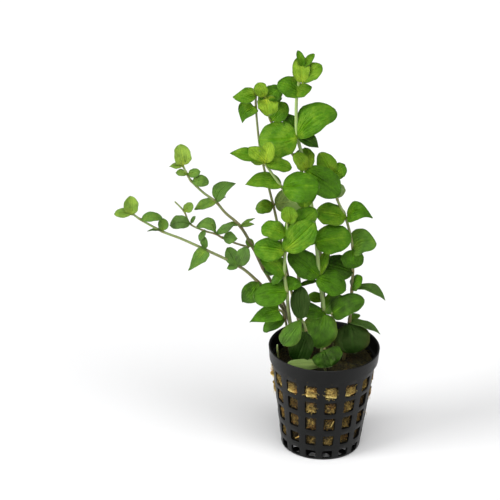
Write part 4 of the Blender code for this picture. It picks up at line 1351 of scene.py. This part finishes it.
def make_studio():
    """The floor, the soft lights and the camera at the photograph's angle."""
    scene = bpy.context.scene
    settings = scene.jenny_studio
    surface, _, _ = principled("Pale floor", {
        "Base Color": (*settings.floor_colour, 1.0), "Roughness": 0.9, "Specular IOR Level": 0.1})
    shape = bmesh.new()
    bmesh.ops.create_grid(shape, x_segments=1, y_segments=1, size=FLOOR_REACH)
    mesh = finished_mesh("studio_floor", shape)
    mesh.materials.append(surface)
    ground = new_object("studio_floor", mesh)

    world = bpy.data.worlds.new("Studio air")
    world.use_nodes = True
    world.node_tree.nodes["Background"].inputs["Color"].default_value = (1.0, 1.0, 1.0, 1.0)
    world.node_tree.nodes["Background"].inputs["Strength"].default_value = settings.sky
    scene.world = world

    # Each light: its strength, its spread in degrees and where it comes from
    lights = (
        ("Top light", settings.top_strength, 50, Vector((0.05, -0.4, 1.0))),
        ("Right light", settings.right_strength, 34, Vector((1.0, -0.62, 0.47))),
        ("Left light", settings.left_strength, 34, Vector((-1.0, -0.46, 0.34))),
    )
    for name, strength, spread, towards in lights:
        lamp = bpy.data.lights.new(name, "SUN")
        lamp.energy = strength
        lamp.angle = math.radians(spread)
        lamp_object = new_object(name, lamp)
        lamp_object.location = CAMERA_TARGET + towards
        lamp_object.rotation_euler = towards.to_track_quat("Z", "Y").to_euler()

    lens = bpy.data.cameras.new("Camera")
    lens.lens = settings.focal_length
    lens.sensor_width = 36.0
    lens.clip_start = 0.05
    lens.clip_end = 50.0
    camera = new_object("Camera", lens)
    view = Vector((0.0, math.cos(settings.elevation), -math.sin(settings.elevation)))
    level_up = Vector((0.0, math.sin(settings.elevation), math.cos(settings.elevation)))
    right = Vector((1, 0, 0)) * math.cos(settings.roll) + level_up * math.sin(settings.roll)
    upward = level_up * math.cos(settings.roll) - Vector((1, 0, 0)) * math.sin(settings.roll)
    turned = Matrix((right, upward, -view)).transposed()
    camera.matrix_world = Matrix.Translation(CAMERA_TARGET - view * settings.distance) @ turned.to_4x4()
    scene.camera = camera
    scene.view_settings.view_transform = "Standard"


def make_operator(name, label, description, make):
    """An operator that makes one piece or one group of pieces."""
    def execute(self, context):
        make()
        return {"FINISHED"}

    return type("JENNY_OT_" + name, (bpy.types.Operator,), {
        "__doc__": description, "bl_idname": "jenny." + name, "bl_label": label, "execute": execute})


OPERATORS = (
    make_operator("shoots", "Shoots", "Make the stems with their short leaves and tip buds", make_shoots),
    make_operator("blades", "Long leaves", "Make the long leaves", make_blades),
    make_operator("net_pot", "Net pot", "Make the net pot", make_net_pot),
    make_operator("rockwool", "Rockwool", "Make the plug of rockwool", make_rockwool),
    make_operator("wool_fibres", "Wool fibres", "Make the loose fibres of the rockwool", make_wool_fibres),
    make_operator("studio", "Studio", "Make the floor, the lights and the camera", make_studio),
)
SETTINGS = {
    "jenny_plant": PlantSettings,
    "jenny_wool": WoolSettings,
    "jenny_pot": PotSettings,
    "jenny_studio": StudioSettings,
}


class JENNY_PT_plant(bpy.types.Panel):
    """The pieces of the potted plant and their settings"""

    bl_idname = "JENNY_PT_plant"
    bl_label = "Potted creeping jenny"
    bl_space_type = "VIEW_3D"
    bl_region_type = "UI"
    bl_category = "Plant"

    def draw(self, context):
        for operator in OPERATORS:
            self.layout.operator(operator.bl_idname)
        for name in SETTINGS:
            group = getattr(context.scene, name)
            box = self.layout.box()
            for key in group.bl_rna.properties.keys():
                if key not in ("rna_type", "name"):
                    box.prop(group, key)


def register():
    for group in SETTINGS.values():
        bpy.utils.register_class(group)
    for name, group in SETTINGS.items():
        setattr(bpy.types.Scene, name, PointerProperty(type=group))
    for operator in OPERATORS:
        bpy.utils.register_class(operator)
    bpy.utils.register_class(JENNY_PT_plant)


def unregister():
    bpy.utils.unregister_class(JENNY_PT_plant)
    for operator in reversed(OPERATORS):
        bpy.utils.unregister_class(operator)
    for name, group in SETTINGS.items():
        delattr(bpy.types.Scene, name)
        bpy.utils.unregister_class(group)


def main():
    register()
    bpy.ops.jenny.shoots()
    bpy.ops.jenny.blades()
    bpy.ops.jenny.net_pot()
    bpy.ops.jenny.rockwool()
    bpy.ops.jenny.wool_fibres()
    bpy.ops.jenny.studio()


if __name__ == "__main__":
    main()
